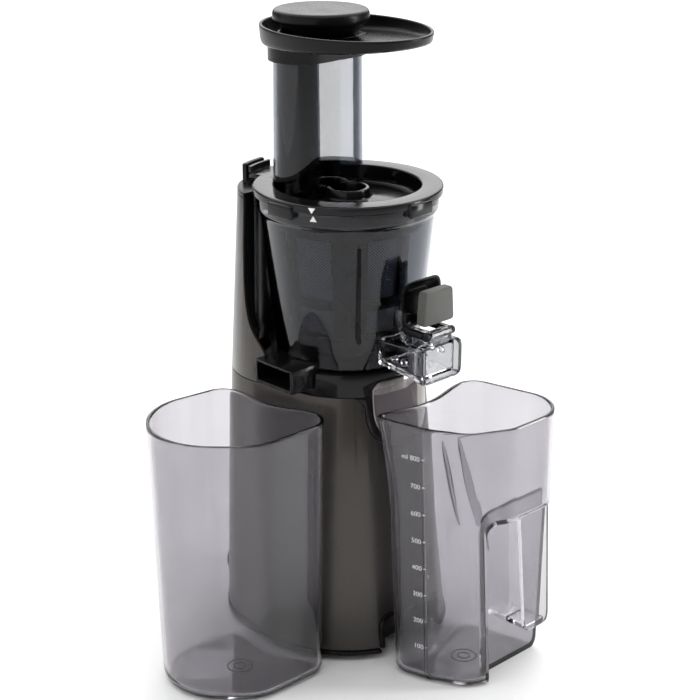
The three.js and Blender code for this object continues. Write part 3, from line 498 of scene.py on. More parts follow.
@material("strainer mesh", "steel")
def mesh_steel(tree, shader):
    """Fine round holes in a thin steel sheet, in staggered rows about a millimetre apart."""
    fixed(shader, metallic=0.5)
    spot = tree.nodes.new("ShaderNodeTexCoord")
    turn = tree.nodes.new("ShaderNodeMapping")
    turn.inputs["Rotation"].default_value = (0, 0, math.radians(45))
    cells = tree.nodes.new("ShaderNodeTexVoronoi")
    cells.voronoi_dimensions = "2D"
    cells.inputs["Scale"].default_value = 0.72
    cells.inputs["Randomness"].default_value = 0.0
    tree.links.new(spot.outputs["UV"], turn.inputs["Vector"])
    tree.links.new(turn.outputs["Vector"], cells.inputs["Vector"])
    holes = cells.outputs["Distance"]
    tree.links.new(blend(tree, holes, (0.02, 0.02, 0.022), (0.86, 0.86, 0.87), 0.32, 0.46),
                   shader.inputs["Base Color"])
    tree.links.new(spread(tree, holes, 0.7, 0.42, 0.3, 0.45), shader.inputs["Roughness"])
    dent(tree, shader, spread(tree, holes, 0, 1, 0.25, 0.45), 0.15)


@material("gunmetal chrome", "gunmetal_chrome")
def gunmetal(tree, shader):
    fixed(shader, metallic=1.0, coat=0.3, coat_rough=0.03)
    lines = noise(tree, 0.9, 2.0, (1, 1, 0.02))
    paint(tree, shader, lines, ((0.17, 0.158, 0.15), (0.21, 0.195, 0.187)), (0.07, 0.11))
    dent(tree, shader, lines, 0.003)


@material("grey silicone", "grey_silicone")
def silicone(tree, shader):
    fixed(shader, sheen=0.25)
    finish_with(tree, shader, ((0.040, 0.040, 0.034), (0.058, 0.058, 0.050)), (0.5, 0.62),
                1.8, 0.08, 0.04)


@material("black rubber", "black_rubber")
def rubber(tree, shader):
    finish_with(tree, shader, ((0.012, 0.012, 0.012), (0.024, 0.024, 0.024)), (0.72, 0.86),
                2.2, 0.1, 0.08)


@material("natural nylon", "natural_nylon")
def nylon(tree, shader):
    finish_with(tree, shader, ((0.63, 0.61, 0.55), (0.70, 0.68, 0.62)), (0.4, 0.52),
                1.6, 0.1, 0.03)


@material("copper winding", "copper_winding")
def copper(tree, shader):
    """Enamelled wire, laid in turns half a millimetre apart; its colour darkens into the grooves
    between turns as painted shade.
    """
    fixed(shader, metallic=0.9, coat=0.3, coat_rough=0.2)
    spot = tree.nodes.new("ShaderNodeTexCoord")
    turns = tree.nodes.new("ShaderNodeTexWave")
    turns.bands_direction = "Z"
    turns.inputs["Scale"].default_value = 0.6 / MM
    turns.inputs["Distortion"].default_value = 0.6
    tree.links.new(spot.outputs["Object"], turns.inputs["Vector"])
    wire_and_groove_shade = turns.outputs["Fac"]
    # the colour follows the turns: darker in the grooves between them, which is painted shade; the
    # roughness and bump are the wire's own
    paint(tree, shader, wire_and_groove_shade, ((0.24, 0.08, 0.03), (0.60, 0.26, 0.12)), (0.5, 0.3))
    dent(tree, shader, wire_and_groove_shade, 0.3)


@material("circuit board", "circuit_board")
def board(tree, shader):
    """Green lacquer over copper tracks."""
    tracks = noise(tree, 0.35, 0.0)
    greens = ((0.010, 0.070, 0.022), (0.030, 0.150, 0.050))
    paint(tree, shader, tracks, greens, (0.34, 0.26), 0.49, 0.51)
    dent(tree, shader, tracks, 0.05)


@material("white print", None)
def print_white(tree, shader):
    finish_with(tree, shader, ((0.80, 0.80, 0.80), (0.90, 0.90, 0.90)), (0.4, 0.55),
                2.0, 0.3, 0.01)


@material("pale floor", None)
def pale(tree, shader):
    finish_with(tree, shader, ((0.88, 0.88, 0.88), (0.90, 0.90, 0.90)), (0.6, 0.7),
                0.5, 0.01, 0.02)


# ---- base ----
def body_form(name, z, inset=0):
    """The body's tapered form between two heights, made smaller by inset."""
    rows = [z[0]] + [h for h in (60, 120, 180, 240) if z[0] + 4 < h < z[1] - 4] + [z[1]]
    return loft(name, [body_ring(h, inset) for h in rows])


def arch_room(grow, y):
    outline = rectangle((-ARCH_HALF - grow, ARCH_HALF + grow), (-20, ARCH_TOP + grow),
                        ARCH_R + grow + 1)
    return upright("arch room", outline, y)


def drum(name, r, z, x=0, y=0, count=96):
    return loft(name, [circle(r, h, x, y, count) for h in z])


def along_y(name, r, y, x, z):
    """A cylinder along y."""
    turns = [2 * math.pi * i / 64 for i in range(64)]
    outline = [(x + r * math.cos(a), z + r * math.sin(a)) for a in turns]
    return upright(name, outline, y)


def make_base():
    rows = ((3.2, 0.4), (3.5, -0.3), (4.2, -0.9), (6.6, -0.9))
    rings = [body_ring(z, inset) for z, inset in rows]
    plate = cut(loft("foot plate", rings), arch_room(0, (-90, -46)))
    for x, y in ((-24, 68), (24, 68), (-50, 6), (50, 6)):
        cut(plate, drum("hole", 1.9, (0, 9), x, y, 32), drum("sink", 4.1, (0, 4.9), x, y, 32))
    for i in range(-2, 3):
        outline = eased([(-20, i * 8 + 12.4), (20, i * 8 + 12.4), (20, i * 8 + 15.6),
                         (-20, i * 8 + 15.6)], 1.5)
        cut(plate, slab("vent", outline, (0, 9)))
    dress(plate, "machine", satin, ["base_plate"], edge=0.25)
    for i, (x, y) in enumerate(((-36, 56), (36, 56), (-44, -20), (44, -20))):
        profile = [(5, 0.5), (5.4, 0, 0.3), (7.1, 0, 0.8), (7.5, 2.6), (7.3, 2.9)]
        foot = turned(f"foot {i + 1}", profile, 0, x, y, 64, closed=False)
        dress(foot, "machine", rubber, [f"foot_{i + 1}"])


def make_arch_trim():
    trim = body_form("arch border", (SKIN_LOW, ARCH_TOP + 8), -0.6)
    common(trim, arch_room(-0.3, (-90, -30)))
    cut(trim, arch_room(-3, (-90, -52)))
    dress(trim, "machine", satin, ["arch_trim"], edge=0.4)


# ---- skins ----
def u_outline(half, low, bottom, top, r):
    """The right half of a U: down from the top, round its foot to half width low."""
    side = [(half, top)]
    for i in range(15):
        a = math.pi / 2 * i / 14
        side.append((low + (half - low) * math.cos(a), bottom + r * 1.3 * (1 - math.sin(a))))
    return side


def mirrored(side):
    """Closes the right half of a front-view outline with its mirror image."""
    return [(-x, z) for x, z in side] + [(x, z) for x, z in reversed(side)]


def cutout_room(grow):
    low = u_outline(CUTOUT_HALF + grow, 12, CUTOUT_LOW - grow, 171, 15)[1:]
    half = CUTOUT_HALF + grow
    flare = [(half + 6, 181), (half + 5.4, 179.2), (half + 3.2, 177.4), (half + 1.4, 175.4),
             (half + 0.4, 173)]
    return upright("cut-out", mirrored([(half + 6, 260)] + flare + low), (-90, -20))


def make_lower_shell():
    skin = cut(body_form("lower body", (SKIN_LOW, SKIN_TOP)),
               body_form("room", (0, 180), SKIN_WALL))
    cut(skin, cutout_room(0), arch_room(0, (-90, -20)))
    cut(skin, block("switch hole", (-14.3, 14.3), (60, 100), (51.7, 74.3)))
    cut(skin, along_y("cord hole", 6.3, (60, 100), -28, 22))
    dress(skin, "machine", titanium, ["lower_shell"], edge=0.5)


def before_cover(setback):
    edge = [(-90, 100), (BAND_BACK, 100), (BAND_BACK, 191), (18.8, 197), (22.8, 203),
            (28.8, 209), (34.8, 217), (38.8, 228), (41.8, 245), (43.8, 270), (44.8, 310),
            (-90, 310)]
    soft = eased([(y + setback, z, 6 if 100 < z < 300 else 0) for y, z in edge], steps=5)
    return sideways("front room", soft, (-100, 100))


def make_column_cover():
    cover = body_form("column cover", (SKIN_TOP + 0.3, COLUMN_TOP - 3))
    cut(cover, body_form("room", (0, 300), SKIN_WALL))
    cut(cover, drum("top", 90, (COLUMN_TOP - 3, 330)), before_cover(0))
    dress(cover, "machine", titanium, ["column_cover"], edge=0.5)


def chute_room():
    return block("chute room", (-90, -23.2), (-18.2, 17.4), (184.1, 240))


def make_inner_housing():
    band = (SKIN_TOP + 0.3, DECK_Z)
    front, rear = (-90, 17.5), (17.5, 120)
    deck = common(body_form("deck", band), block("front", (-90, 90), front, (150, 330)))
    inner = body_form("inner", (160, 300), 2.5)
    common(inner, block("behind", (-90, 90), rear, (150, 330)))
    plinth = common(body_form("plinth", (160, 300), 2.5), block("low", (-90, 90), rear, band))
    cut(inner, drum("bowl room", COLUMN_INNER_R, (DECK_Z, 330), count=180), before_cover(1.2))
    common(inner, block("seat", (-90, 90), (-20, 120), (band[0], COLUMN_TOP - 3.3)))
    join(deck, plinth, inner)
    hollow = cut(body_form("hollow", (150, 299), 4.9),
                 block("roof", (-90, 90), (-90, 120), (DECK_Z - 2.6, 330)))
    back = cut(body_form("back", (150, COLUMN_TOP - 5.9), 4.9),
               drum("wall", COLUMN_INNER_R + 2.4, (140, 330), count=180), before_cover(3.6))
    cut(deck, hollow, back)
    channel = block("channel", (-80, -20.6), (-20.8, 20), (181.5, DECK_Z - 1))
    join(deck, common(channel, body_form("inside", (160, 220), SKIN_WALL)))
    cut(deck, chute_room(), drum("shaft hole", 9.4, (180, 200)))
    dress(deck, "machine", gloss, ["inner_housing"], edge=0.4)


def make_column_cap():
    cap = body_form("column cap", (COLUMN_TOP - 2.7, COLUMN_TOP))
    cut(cap, drum("bowl room", COLUMN_INNER_R, (280, 330), count=180), before_cover(0))
    wall = [(70.6, 298.7), (74.2, 298.7), (74.2, 311.6, 1.2), (70.6, 311.6, 1.2)]
    hood = turned("hood", wall, 0, count=180)
    share = [(-29, 290), (-8, 290), (-8, 311), (-12, 316), (-29, 318)]
    join(cap, common(hood, upright("hood room", share, (40, 90))))
    dress(cap, "machine", satin, ["column_cap"], edge=0.4)


def make_front():
    band = common(body_form("front border", (CUTOUT_LOW - 2, SKIN_TOP)), cutout_room(-0.3))
    cut(band, body_form("room", (100, 180), SKIN_WALL))
    dress(band, "machine", gloss, ["front_trim"], edge=0.3)
    shell = cut(body_form("shield plate", (PLATE_LOW, PLATE_TOP), -1.9),
                body_form("room", (100, 220), -0.35))
    side = u_outline(PLATE_HALF, 10, PLATE_LOW, PLATE_TOP - 8, 16)
    corner = [(PLATE_HALF - 8 + 8 * math.sin(math.pi / 2 * i / 8),
               PLATE_TOP - 8 + 8 * math.cos(math.pi / 2 * i / 8)) for i in range(8)]
    face = upright("face", mirrored(corner + side), (-90, -20))
    dress(common(shell, face), "machine", gunmetal, ["front_plate"], edge=0.5)


def make_switch():
    bezel = upright("switch frame", rectangle((-16, 16), (50, 76), 3), (82.5, 84.4), 0.6)
    join(bezel, block("sleeve", (-14, 14), (66, 83), (52, 74)))
    cut(bezel, upright("well", rectangle((-10.5, 10.5), (54.5, 71.5), 1), (68, 90)))
    dress(bezel, "machine", satin, ["switch_bezel"])
    rocker = join(rod("rocker", 6.6, (-10.1, 10.1), 77.6, 63),
                  block("paddle", (-10.1, 10.1), (77.6, 84.8), (57.6, 68.4)))
    dress(rocker, "rocker", gloss, ["switch_rocker"], edge=0.5)
    inlet = join(along_y("cord_inlet_ring", 6, (62, 85), -28, 22),
                 along_y("flange", 8.2, (83.2, 85.8), -28, 22))
    cut(inlet, along_y("bore", 3.4, (50, 90), -28, 22))
    dress(inlet, "machine", satin, ["cord_inlet"], edge=0.5)


# ---- bowl, chute and cap ----
def tapered(name, y0, rect0, y1, rect1, radius=0.0):
    rings = []
    for y, (x0, x1, z0, z1) in ((y0, rect0), (y1, rect1)):
        rings.append([(x, y, z) for x, z in rectangle((x0, x1), (z0, z1), radius)])
    return loft(name, rings)


def pad_room():
    """The room that the cap's pad sweeps in front of the spout's mouth."""
    room = rod("pad room", 29.2, (-14.7, 14.7), HINGE_Y, HINGE_Z, 96)
    cut(room, rod("boss", 6.1, (-15, 15), HINGE_Y, HINGE_Z))
    return common(room, block("outside", (-14.7, 14.7), (-96, -79.6), (190, 226.5)))


def hinge_block():
    ear = join(rod("hinge block", 3.4, (-8.6, 8.6), HINGE_Y, HINGE_Z),
               block("post", (-8.6, 8.6), (HINGE_Y - 3, HINGE_Y + 3.4), (217, HINGE_Z)))
    return cut(ear, rod("pin hole", 1.9, (-10, 10), HINGE_Y, HINGE_Z))


def make_bowl():
    outside = [(46.6, BOWL_LOW, 0.8), (47, 206), (55.6, 289.5, 2), (58, 292, 2),
               (58, BOWL_TOP, 0.8)]
    inside = [(54.9, BOWL_TOP, 0.8), (53, 288, 3), (44.7, 206.5, 3), (43.9, 203.5, 1),
              (13, 203.5, 1), (12.2, 209.6, 0.6)]
    underside = [(9.8, 209.6, 0.6), (9.8, 200.8, 0.4), (43.9, 200.8, 0.3), (44, BOWL_LOW, 0.5)]
    bowl = turned("juice bowl", outside + inside + underside, 0, count=180)
    spout = tapered("spout", SPOUT_MOUTH, (-SPOUT_HALF, SPOUT_HALF, SPOUT_LOW, SPOUT_TOP),
                    -40, (-16, 16, 199.4, 217.6), 3)
    half = SPOUT_HALF + 1.2
    flange = rectangle((-half, half), (SPOUT_LOW - 1.2, SPOUT_TOP + 1.2), 7, 8)
    flange_y = (SPOUT_MOUTH - 0.2, SPOUT_MOUTH + 7)
    join(spout, upright("flange", flange, flange_y, 1.4), hinge_block())
    skin = ((46.65, 190), (46.65, 196), (47.05, 206), (49.05, 225.4))
    core = loft("core", [circle(r, z) for r, z in skin])
    cut(spout, pad_room(), core)
    for x in (-1, 1):
        for y in (-60, -68):
            ring = rod("mark", 2.6, (x * 17.3 - 0.6, x * 17.3 + 0.6), y, 207.5)
            join(spout, cut(ring, rod("mark core", 1.8, (x * 17.3 - 2, x * 17.3 + 2), y, 207.5)))
    for piece in (spout, bowl):
        cut(piece, tapered("duct", SPOUT_MOUTH - 2, (-14, 14, 198.6, 216.6), -36,
                           (-12.8, 12.8, 203.5, 214.4), 2.4))
    dress(spout, "bowl", smoked_thick, sharp=38)
    cut(bowl, block("chute seat", (-52, -36), (-18.2, 17.4), (180, 200.8)),
        block("pulp outlet", (-41.5, -28), (-9, 9), (198, 206)))
    join(bowl, drum("idler pin", 2, (202.5, 206.3), 0, 31.5, 32))
    dress(bowl, "bowl", smoked, ["juice_bowl"], sharp=38)


def make_chute():
    x, y, z = (-66, -24), (-17.6, 16.8), (184.6, 200.4)
    outline = eased([(x[0], y[0], 1), (x[1], y[0]), (x[1], y[1]), (x[0], y[1], 1)])
    chute = slab("pulp chute", outline, z)
    cut(chute, block("duct", (x[0] - 5, x[1] - 2), (y[0] + 2, y[1] - 2), (z[0] + 2, z[1] - 2)),
        block("pulp outlet", (-41.5, -28), (-9, 9), (195, 206)))
    dress(chute, "bowl", gloss, ["pulp_chute"], edge=0.7)


def make_cap():
    y, z = HINGE_Y, HINGE_Z

    def ring(depth, half, low, high, r):
        return [(a, y + depth, b) for a, b in rectangle((-half, half), (z + low, z + high), r, 8)]

    outside = [ring(22, 9.8, 9.3, 25.1, 5), ring(21.7, 10.9, 8.2, 26.2, 5.5),
               ring(20.8, 11.7, 7.4, 27, 6), ring(16.4, 15.4, 4.4, 30.8, 7.4),
               ring(15, 17, 3.2, 32.1, 8), ring(14.6, 17.4, 2.8, 32.4, 8.2)]
    inside = [ring(19.9, 9.6, 9.5, 24.9, 4.6), ring(19.6, 10.6, 8.5, 25.9, 5),
              ring(15.4, 14.8, 5, 30.2, 6.6), ring(14.2, 16.3, 3.9, 31.3, 7.4)]
    cap = cut(loft("juice cap", outside), loft("hollow", inside))
    join(cap, upright("pad block", rectangle((-9, 9), (z + 10, z + 24.4), 3), (y + 6.6, y + 20.5)),
         rod("pin", 1.6, (-12, 12), y, z))
    for x in ((-12.6, -9), (9, 12.6)):
        join(cap, rod("eye", 2.6, x, y, z), block("arm", x, (y, y + 18), (z - 2, z + 2)),
             block("riser", x, (y + 14.9, y + 18), (z - 2, z + 6.6)))
    dress(cap, "cap", satin, ["juice_cap"], edge=0.3)
    pad = [(-13.8, z + 6.6), (13.8, z + 6.6), (12.2, z + 28.6), (-12.2, z + 28.6)]
    soft = upright("cap pad", eased(pad, 3, steps=8), (y - 0.3, y + 6.4), 1.1)
    dress(soft, "cap", silicone, ["cap_pad"])


# ---- strainer, brush and auger ----
def strainer_r(z):
    return mix(35.2, 40.8, (z - 208) / 82)


def cone(name, inner, outer, z, radius=0.3):
    """A thin wall that follows the strainer's taper."""
    profile = [(strainer_r(z[0]) + inner, z[0]), (strainer_r(z[0]) + outer, z[0]),
               (strainer_r(z[1]) + outer, z[1]), (strainer_r(z[1]) + inner, z[1])]
    return turned(name, profile, radius, count=180)


def wedge(z, start, end):
    """Room for a window between two angles in degrees."""
    turns = [math.radians(mix(start, end, i / 6)) for i in range(7)]
    outline = [(20 * math.cos(turns[0]), 20 * math.sin(turns[0]))]
    outline += [(66 * math.cos(a), 66 * math.sin(a)) for a in turns]
    outline += [(20 * math.cos(turns[-1]), 20 * math.sin(turns[-1]))]
    return slab("window", outline, z)


def bar(name, width, z, angle):
    return swung(block(name, (25, 55), (-width / 2, width / 2), z), angle)


def unroll(obj):
    """Maps a round sheet flat: u follows its girth and v its height, in millimetres."""
    layer = obj.data.uv_layers.new(name="sheet")
    centre = at(0, 0, 0)
    for polygon in obj.data.polygons:
        start = None
        for loop in polygon.loop_indices:
            spot = obj.data.vertices[obj.data.loops[loop].vertex_index].co - centre
            turn = math.atan2(spot.y, spot.x)
            start = turn if start is None else start
            if abs(turn - start) > math.pi:
                turn += math.copysign(2 * math.pi, start)
            layer.data[loop].uv = (turn * 36, spot.z / MM)


def make_strainer():
    low, neck, high = 207, 285, 289
    profile = [(strainer_r(low) - 2, low), (strainer_r(low), low), (strainer_r(neck), neck - 0.2),
               (strainer_r(neck) + 1.4, neck + 0.2), (strainer_r(high) + 1.4, high),
               (strainer_r(high) - 2, high)]
    frame = turned("strainer frame", profile, 0.3, count=180)
    for i in range(STRAINER_WINDOWS):
        start = WINDOW_START + i * 360 / STRAINER_WINDOWS
        end = start + WINDOW_TURN
        cut(frame, wedge((239, 281), start, end), wedge((216, 232), start, end))
    dress(frame, "bowl", satin, ["strainer_frame"], edge=0.25)
    sheet = cone("strainer sheet", -3.1, -2.3, (213, 284), 0.1)
    unroll(sheet)
    dress(sheet, "bowl", mesh_steel, ["strainer_mesh"])


def toothed(count, pitch, shift, flanks):
    """A gear's outline. Each tooth's points are (share of a pitch, height over the pitch)."""
    out = []
    for i in range(count):
        for side, height in flanks:
            a = math.pi / 2 + (i + shift + side) / count * 2 * math.pi
            out.append(((pitch + height) * math.cos(a), (pitch + height) * math.sin(a)))
    return out


def make_brush():
    holder = join(cone("brush holder", 2.2, 6.4, (207.1, 215), 0.6),
                  cone("top ring", 2.2, 6.8, (281, 288.4), 0.8))
    gear = drum("gear ring", 42.3, (204, 207.3), count=180)
    gaps = toothed(44, 38.5, 0.5, ((-0.3, -1.4), (-0.22, 1.84), (0.22, 1.84), (0.3, -1.4)))
    join(holder, cut(gear, slab("teeth", gaps, (203, 209))))
    for angle in BRUSH_BARS:
        join(holder, common(bar("bar", 13, (204, 290), angle), cone("wall", 2.3, 5.8, (208, 287))))
    for angle in BRUSH_BARS:
        cut(holder, bar("slot", 2.4, (217, 279), angle))
    dress(holder, "brush", satin, ["brush_holder"], edge=0.25)
    for i, angle in enumerate(BRUSH_BARS):
        low, high = strainer_r(200) + 2.2, strainer_r(292) + 2.2
        inner = turned("inner", [(low - 0.6, 200), (high - 0.6, 292)], 0, closed=False)
        outer = turned("outer", [(low + 5.6, 200), (high + 7.3, 292)], 0, closed=False)
        blade = cut(common(bar(f"wiper {i + 1}", 1.8, (217.3, 278.7), angle), outer), inner)
        dress(blade, "brush", silicone, [f"wiper_blade_{i + 1}"], edge=0.3)


def auger_point(angle, h, t):
    core = mix(21, 9.5, min(1, t * 1.12))
    phase = (angle / (2 * math.pi) - 1.9 * t ** 0.85) % 1
    crest = max(0, 1 - abs(phase - 0.5) / 0.16)
    fade = min(1, (1 - t) * 7)
    r = mix(core, strainer_r(h) - 3.9, min(1, crest * 1.6) * fade)
    return (r * math.cos(angle), r * math.sin(angle), h)


def make_auger():
    rows, count = 72, 120
    turns = [2 * math.pi * i / count for i in range(count)]
    rings = []
    for k in range(rows + 1):
        t = k / rows
        rings.append([auger_point(a, mix(216, 289.6, t), t) for a in turns])
    auger = loft("auger", rings)
    foot = [(28, 212.6), (31.6, 212.6, 0.6), (31.6, 217, 1.2), (28, 217)]
    join(auger, turned("foot", foot, 0, closed=False),
         turned("skirt", [(20, 207.1), (30.6, 207.1), (30.6, 213), (20, 213)], 0),
         turned("pin", [(5, 288.2), (5, 295, 1.2), (3, 295)], 0, count=50, closed=False))
    teeth = toothed(28, 24.5, 0, ((-0.29, -2.0), (-0.13, 1.7), (0.13, 1.7), (0.29, -2.0)))
    driver = cut(slab("driver", teeth, (204.1, 207.4)), drum("bore", 20, (200, 210)))
    join(auger, driver)
    cut(auger, drum("socket room", 12.2, (200, 223.6), count=6), drum("boss room", 8.4, (200, 211)))
    dress(auger, "screw", satin, ["auger"], edge=0.15, sharp=40)


# ---- lid and feed tube ----
def ring_part(name, radii, z, room):
    """The share of a round wall that lies inside a block of x and y."""
    inner, outer = radii
    profile = [(inner, z[0]), (outer, z[0]), (outer, z[1]), (inner, z[1])]
    wall = turned(name, profile, 0.5, count=240)
    return common(wall, block("share", *room, (z[0] - 2, z[1] + 2)))


def make_lid():
    profile = [(10.4, 297.4, 0.6), (11, 303.8, 1), (13.6, 303.8, 1), (14.6, 297.6, 1.5),
               (45, 295.4, 3), (46.6, LID_TOP, 1.6), (59.7, LID_TOP, 1.2), (LID_R, 305.5),
               (LID_R, 301.5, 0.4), (52.9, 301.5, 0.5), (52.5, 292.2, 0.5), (50.4, 292.2, 0.5),
               (50, 293, 0.4), (9, 293, 0.5), (8.4, 290, 0.5), (5.7, 290, 0.5), (5.7, 295.4)]
    lid = turned("lid", [(3, 297.4)] + profile + [(3, 295.4)], 0, count=240, closed=False)
    ear = ((-28, -6), (20, 90))
    join(lid, ring_part("ear", (52, 69.4), (302.2, LID_TOP), ear))
    join(lid, ring_part("ear lip", (66.8, 69.4), (LID_TOP - 1, 310.4), ear))
    cut(lid, tube_form("feed hole", -TUBE_WALL, (280, 330)),
        tube_form("tube seat", 0.3, (295.6, 330)),
        block("magnet seat", (-20.2, -11.8), (55.8, 60), (300, 304.6)))
    for angle in (273, 3, 183):
        lug = block("lug", (LID_R - 2.1, LID_R + 1.7), (-10, 10), (296.2, 304.6), 0.9)
        join(lid, swung(lug, angle))
    dress(lid, "lid_set", gloss, ["lid"], edge=0.2)


def tube_form(name, grow, z):
    return loft(name, [stadium(grow, h) for h in z])


def make_feed_tube():
    low, high = 295.9, 391.4
    near, far = -TUBE_WALL + 0.2, -TUBE_WALL - 0.7
    path = [(-0.4, low), (0, low + 0.4), (-0.9, high - 0.6), (-1.4, high),
            (far + 0.5, high), (far, high - 0.6), (near, low + 0.4), (near + 0.4, low)]
    tube = loft("feed tube", [stadium(grow, z) for grow, z in path], closed=True)
    dress(tube, "lid_set", smoked, ["feed_tube"])


# ---- hopper tray and pusher ----
def tray_ring(grow, lift, level, count=180):
    """An oval whose height runs from the sloping floor (level 0) to the flat rim (level 1)."""
    out = []
    for i in range(count):
        a = 2 * math.pi * i / count
        x, y = (TRAY_RX + grow) * math.cos(a), TRAY_Y + (TRAY_RY + grow) * math.sin(a)
        t = min(1, max(0, (y - TRAY_Y + TRAY_RY) / (2 * TRAY_RY)))
        out.append((x, y, mix(mix(TRAY_FRONT, TRAY_REAR, t ** 0.7), TRAY_RIM, level) + lift))
    return out


def make_tray():
    underside = [(-9, 0.1, 0), (-5, 0, 0), (-3.0, 0.2, 0.03), (-1.5, 0.2, 0.12), (-0.6, 0, 0.35),
                 (-0.2, 0, 0.75), (0, -1.2, 1)]
    rim = [(-0.1, -0.4, 1), (-0.6, 0, 1), (-1.6, 0, 1), (-2.1, -0.4, 1), (-2.3, -1.2, 1)]
    dish = [(-2.6, 0.2, 0.74), (-3.4, 0.8, 0.42), (-4.6, 1.8, 0.16), (-5.8, 2.4, 0.05),
            (-7.4, 2.6, 0), (-10, 2.6, 0)]
    tray = loft("hopper tray", [tray_ring(*p) for p in underside + rim + dish])
    join(tray, tube_form("sleeve", 2.4, (383, 396)))
    cut(tray, tube_form("seat", 0.3, (370, 391.6)),
        tube_form("throat", -TUBE_WALL - 0.4, (370, 420)))
    dress(tray, "tray", satin, ["hopper_tray"], edge=0.25)


def make_pusher():
    r, low, high = PUSHER_R, 405.3, 413.5
    profile = [(24, low), (r - 0.9, low, 0.9), (r, low + 1.6, 1), (r - 0.2, high - 2.6, 1.2),
               (r - 1.4, high - 0.5, 1.6), (r - 5, high - 0.05, 2), (10, high)]
    pusher = turned("pusher", profile, 0, 0, PUSHER_Y, 180, closed=False)
    neck = [(23, 398), (25.2, 400.5), (27.4, 403.4), (28.6, low + 0.2)]
    fit = -TUBE_WALL - 1.6
    join(pusher, turned("neck", neck, 0, 0, PUSHER_Y, 120, closed=False),
         tube_form("top", fit, (384, 400.3)))
    main = common(tube_form("main", fit - 0.05, (299, 386)),
                  block("left", (-60, -9), (-20, 80), (290, 400)))
    leg = slab("leg", rectangle((3.4, 12), (19, 27.6), 2), (300, 386))
    join(pusher, main, leg, tube_form("toe", fit, (297.6, 301.2)))
    room = common(tube_form("room", -TUBE_WALL - 3.8, (303.5, 410)),
                  block("left", (-60, -11.4), (-20, 80), (290, 408)))
    cut(pusher, room, drum("drain", 4, (290, 310), -20, TUBE_Y))
    dress(pusher, "plunger", satin, ["pusher"], edge=0.3)


# ---- containers ----
def pulp_circles(z):
    return [(-84.5, 28.5, 15), (-75.5, -33.5, 16), (-110.5, 2.5, 44), (-105.5, -10.5, 38.5)]


def jug_circles(z):
    lip = max(0, (z - 110) / 66) ** 1.6
    return [(mix(-21, -31.5, lip), mix(-77.5, -67, lip), mix(15, 6, lip)), (-11, -94.2, 20),
            (-3.4, -108.8, 20), (13, -116.7, 20), (37, -110.4, 26.5), (42, -74.4, 14.5)]


PULP = {"centre": (-107.5, -2.5), "circles": pulp_circles, "lean": (-0.3, -2.5),
        "hollow": ((-65, -1.5), (0.985, 0.17), 32, 6.5)}
JUG = {"centre": (14, -95.5), "circles": jug_circles, "lean": (-1.4, -5),
       "hollow": ((2, -60.5), (0, 1), 44, 7.5)}


def vessel_ring(shape, z, inset, count=300):
    """A container's outline: narrower and leaning toward the floor, hollowed on one side."""
    (ax, ay), (dx, dy), half, depth = shape["hollow"]
    cx, cy = shape["centre"]
    fall = 1 - z / CONTAINER_TOP
    plan = around(shape["circles"](z), (cx, cy), inset + CONTAINER_DRAFT * fall, count)
    out = []
    for x, y in plan:
        along = -(x - ax) * dy + (y - ay) * dx
        hollowed = (x - cx) * dx + (y - cy) * dy > 0 and abs(along) < half
        deep = depth * math.cos(along / half * math.pi / 2) ** 2 if hollowed else 0
        lean_x, lean_y = shape["lean"]
        out.append((x - dx * deep + lean_x * fall, y - dy * deep + lean_y * fall, z))
    return out


def vessel_skin(name, shape, low, edge, inset, top):
    """From a rounded foot up to the rim; top is a list of (inset, z) that shapes the rim."""
    path = [(inset + edge * (1 - math.sin(a)), low + edge * 1.5 * (1 - math.cos(a)))
            for a in (math.pi / 2 * i / 7 for i in range(8))]
    path += [(inset, z) for z in range(20, 170, 10)] + top
    return loft(name, [vessel_ring(shape, z, grow) for grow, z in path])


def vessel(name, shape):
    lip, wall = CONTAINER_TOP, CONTAINER_WALL
    outside = [(0, 173), (0, lip - 0.7), (0.25, lip - 0.2), (0.7, lip)]
    inside = [(wall, 173), (wall, lip - 0.7), (wall - 0.25, lip - 0.2), (wall - 0.7, lip),
              (wall - 0.7, lip + 4)]
    outer = vessel_skin(name, shape, 0, 5, 0, outside)
    inner = vessel_skin("inside", shape, 3, 4, wall, inside)
    return outer, inner


def floor_mark(body, name, x, y):
    """The moulding gate's ring in the middle of a container's floor."""
    for r in (3.4, 7.6):
        profile = [(r, 3), (r + 0.7, 3), (r + 0.7, 3.35), (r, 3.35)]
        dress(turned(f"{name} {int(r)}", profile, 0.1, x, y, 64), body, tinted)


def make_pulp_container():
    outer, inner = vessel("pulp container", PULP)
    cut(outer, inner)
    dress(outer, "pulp_vessel", tinted, ["pulp_container"], sharp=40)
    floor_mark("pulp_vessel", "pulp floor ring", -104, -6)


def finger_room(grow):
    """Room behind the jug's grip: a box with round edges whose left wall slants outward."""
    outline = rectangle((-grow, 120), (-140, 113 + grow), 11 + grow, 10)
    rings = []
    for y in (-180 + grow, -120 + grow):
        rings.append([(-1 + x + 0.63 * (y + 120) - 0.054 * (z - 113), y, z) for x, z in outline])
    return loft("finger room", rings)


def make_jug():
    outer, inner = vessel("juice jug", JUG)
    cut(inner, finger_room(CONTAINER_WALL))
    cut(outer, common(finger_room(CONTAINER_WALL), finger_room(0)), inner)
    blade = [(15.8, 115), (23.6, 38), (24.5, 33), (28, 30), (44, 30), (46.4, 32), (47, 36),
             (42.5, 115)]
    soft = eased([(x, z, 2 if z < 40 else 0) for x, z in blade])
    join(outer, upright("blade", soft, (-138, -135)),
         block("bridge", (27, 44), (-138, -118), (30, 33.4)))
    dress(outer, "jug", tinted, ["juice_jug"], sharp=40)
    floor_mark("jug", "jug floor ring", 10, -99)


# ---- printed marks ----
ROWS = {}


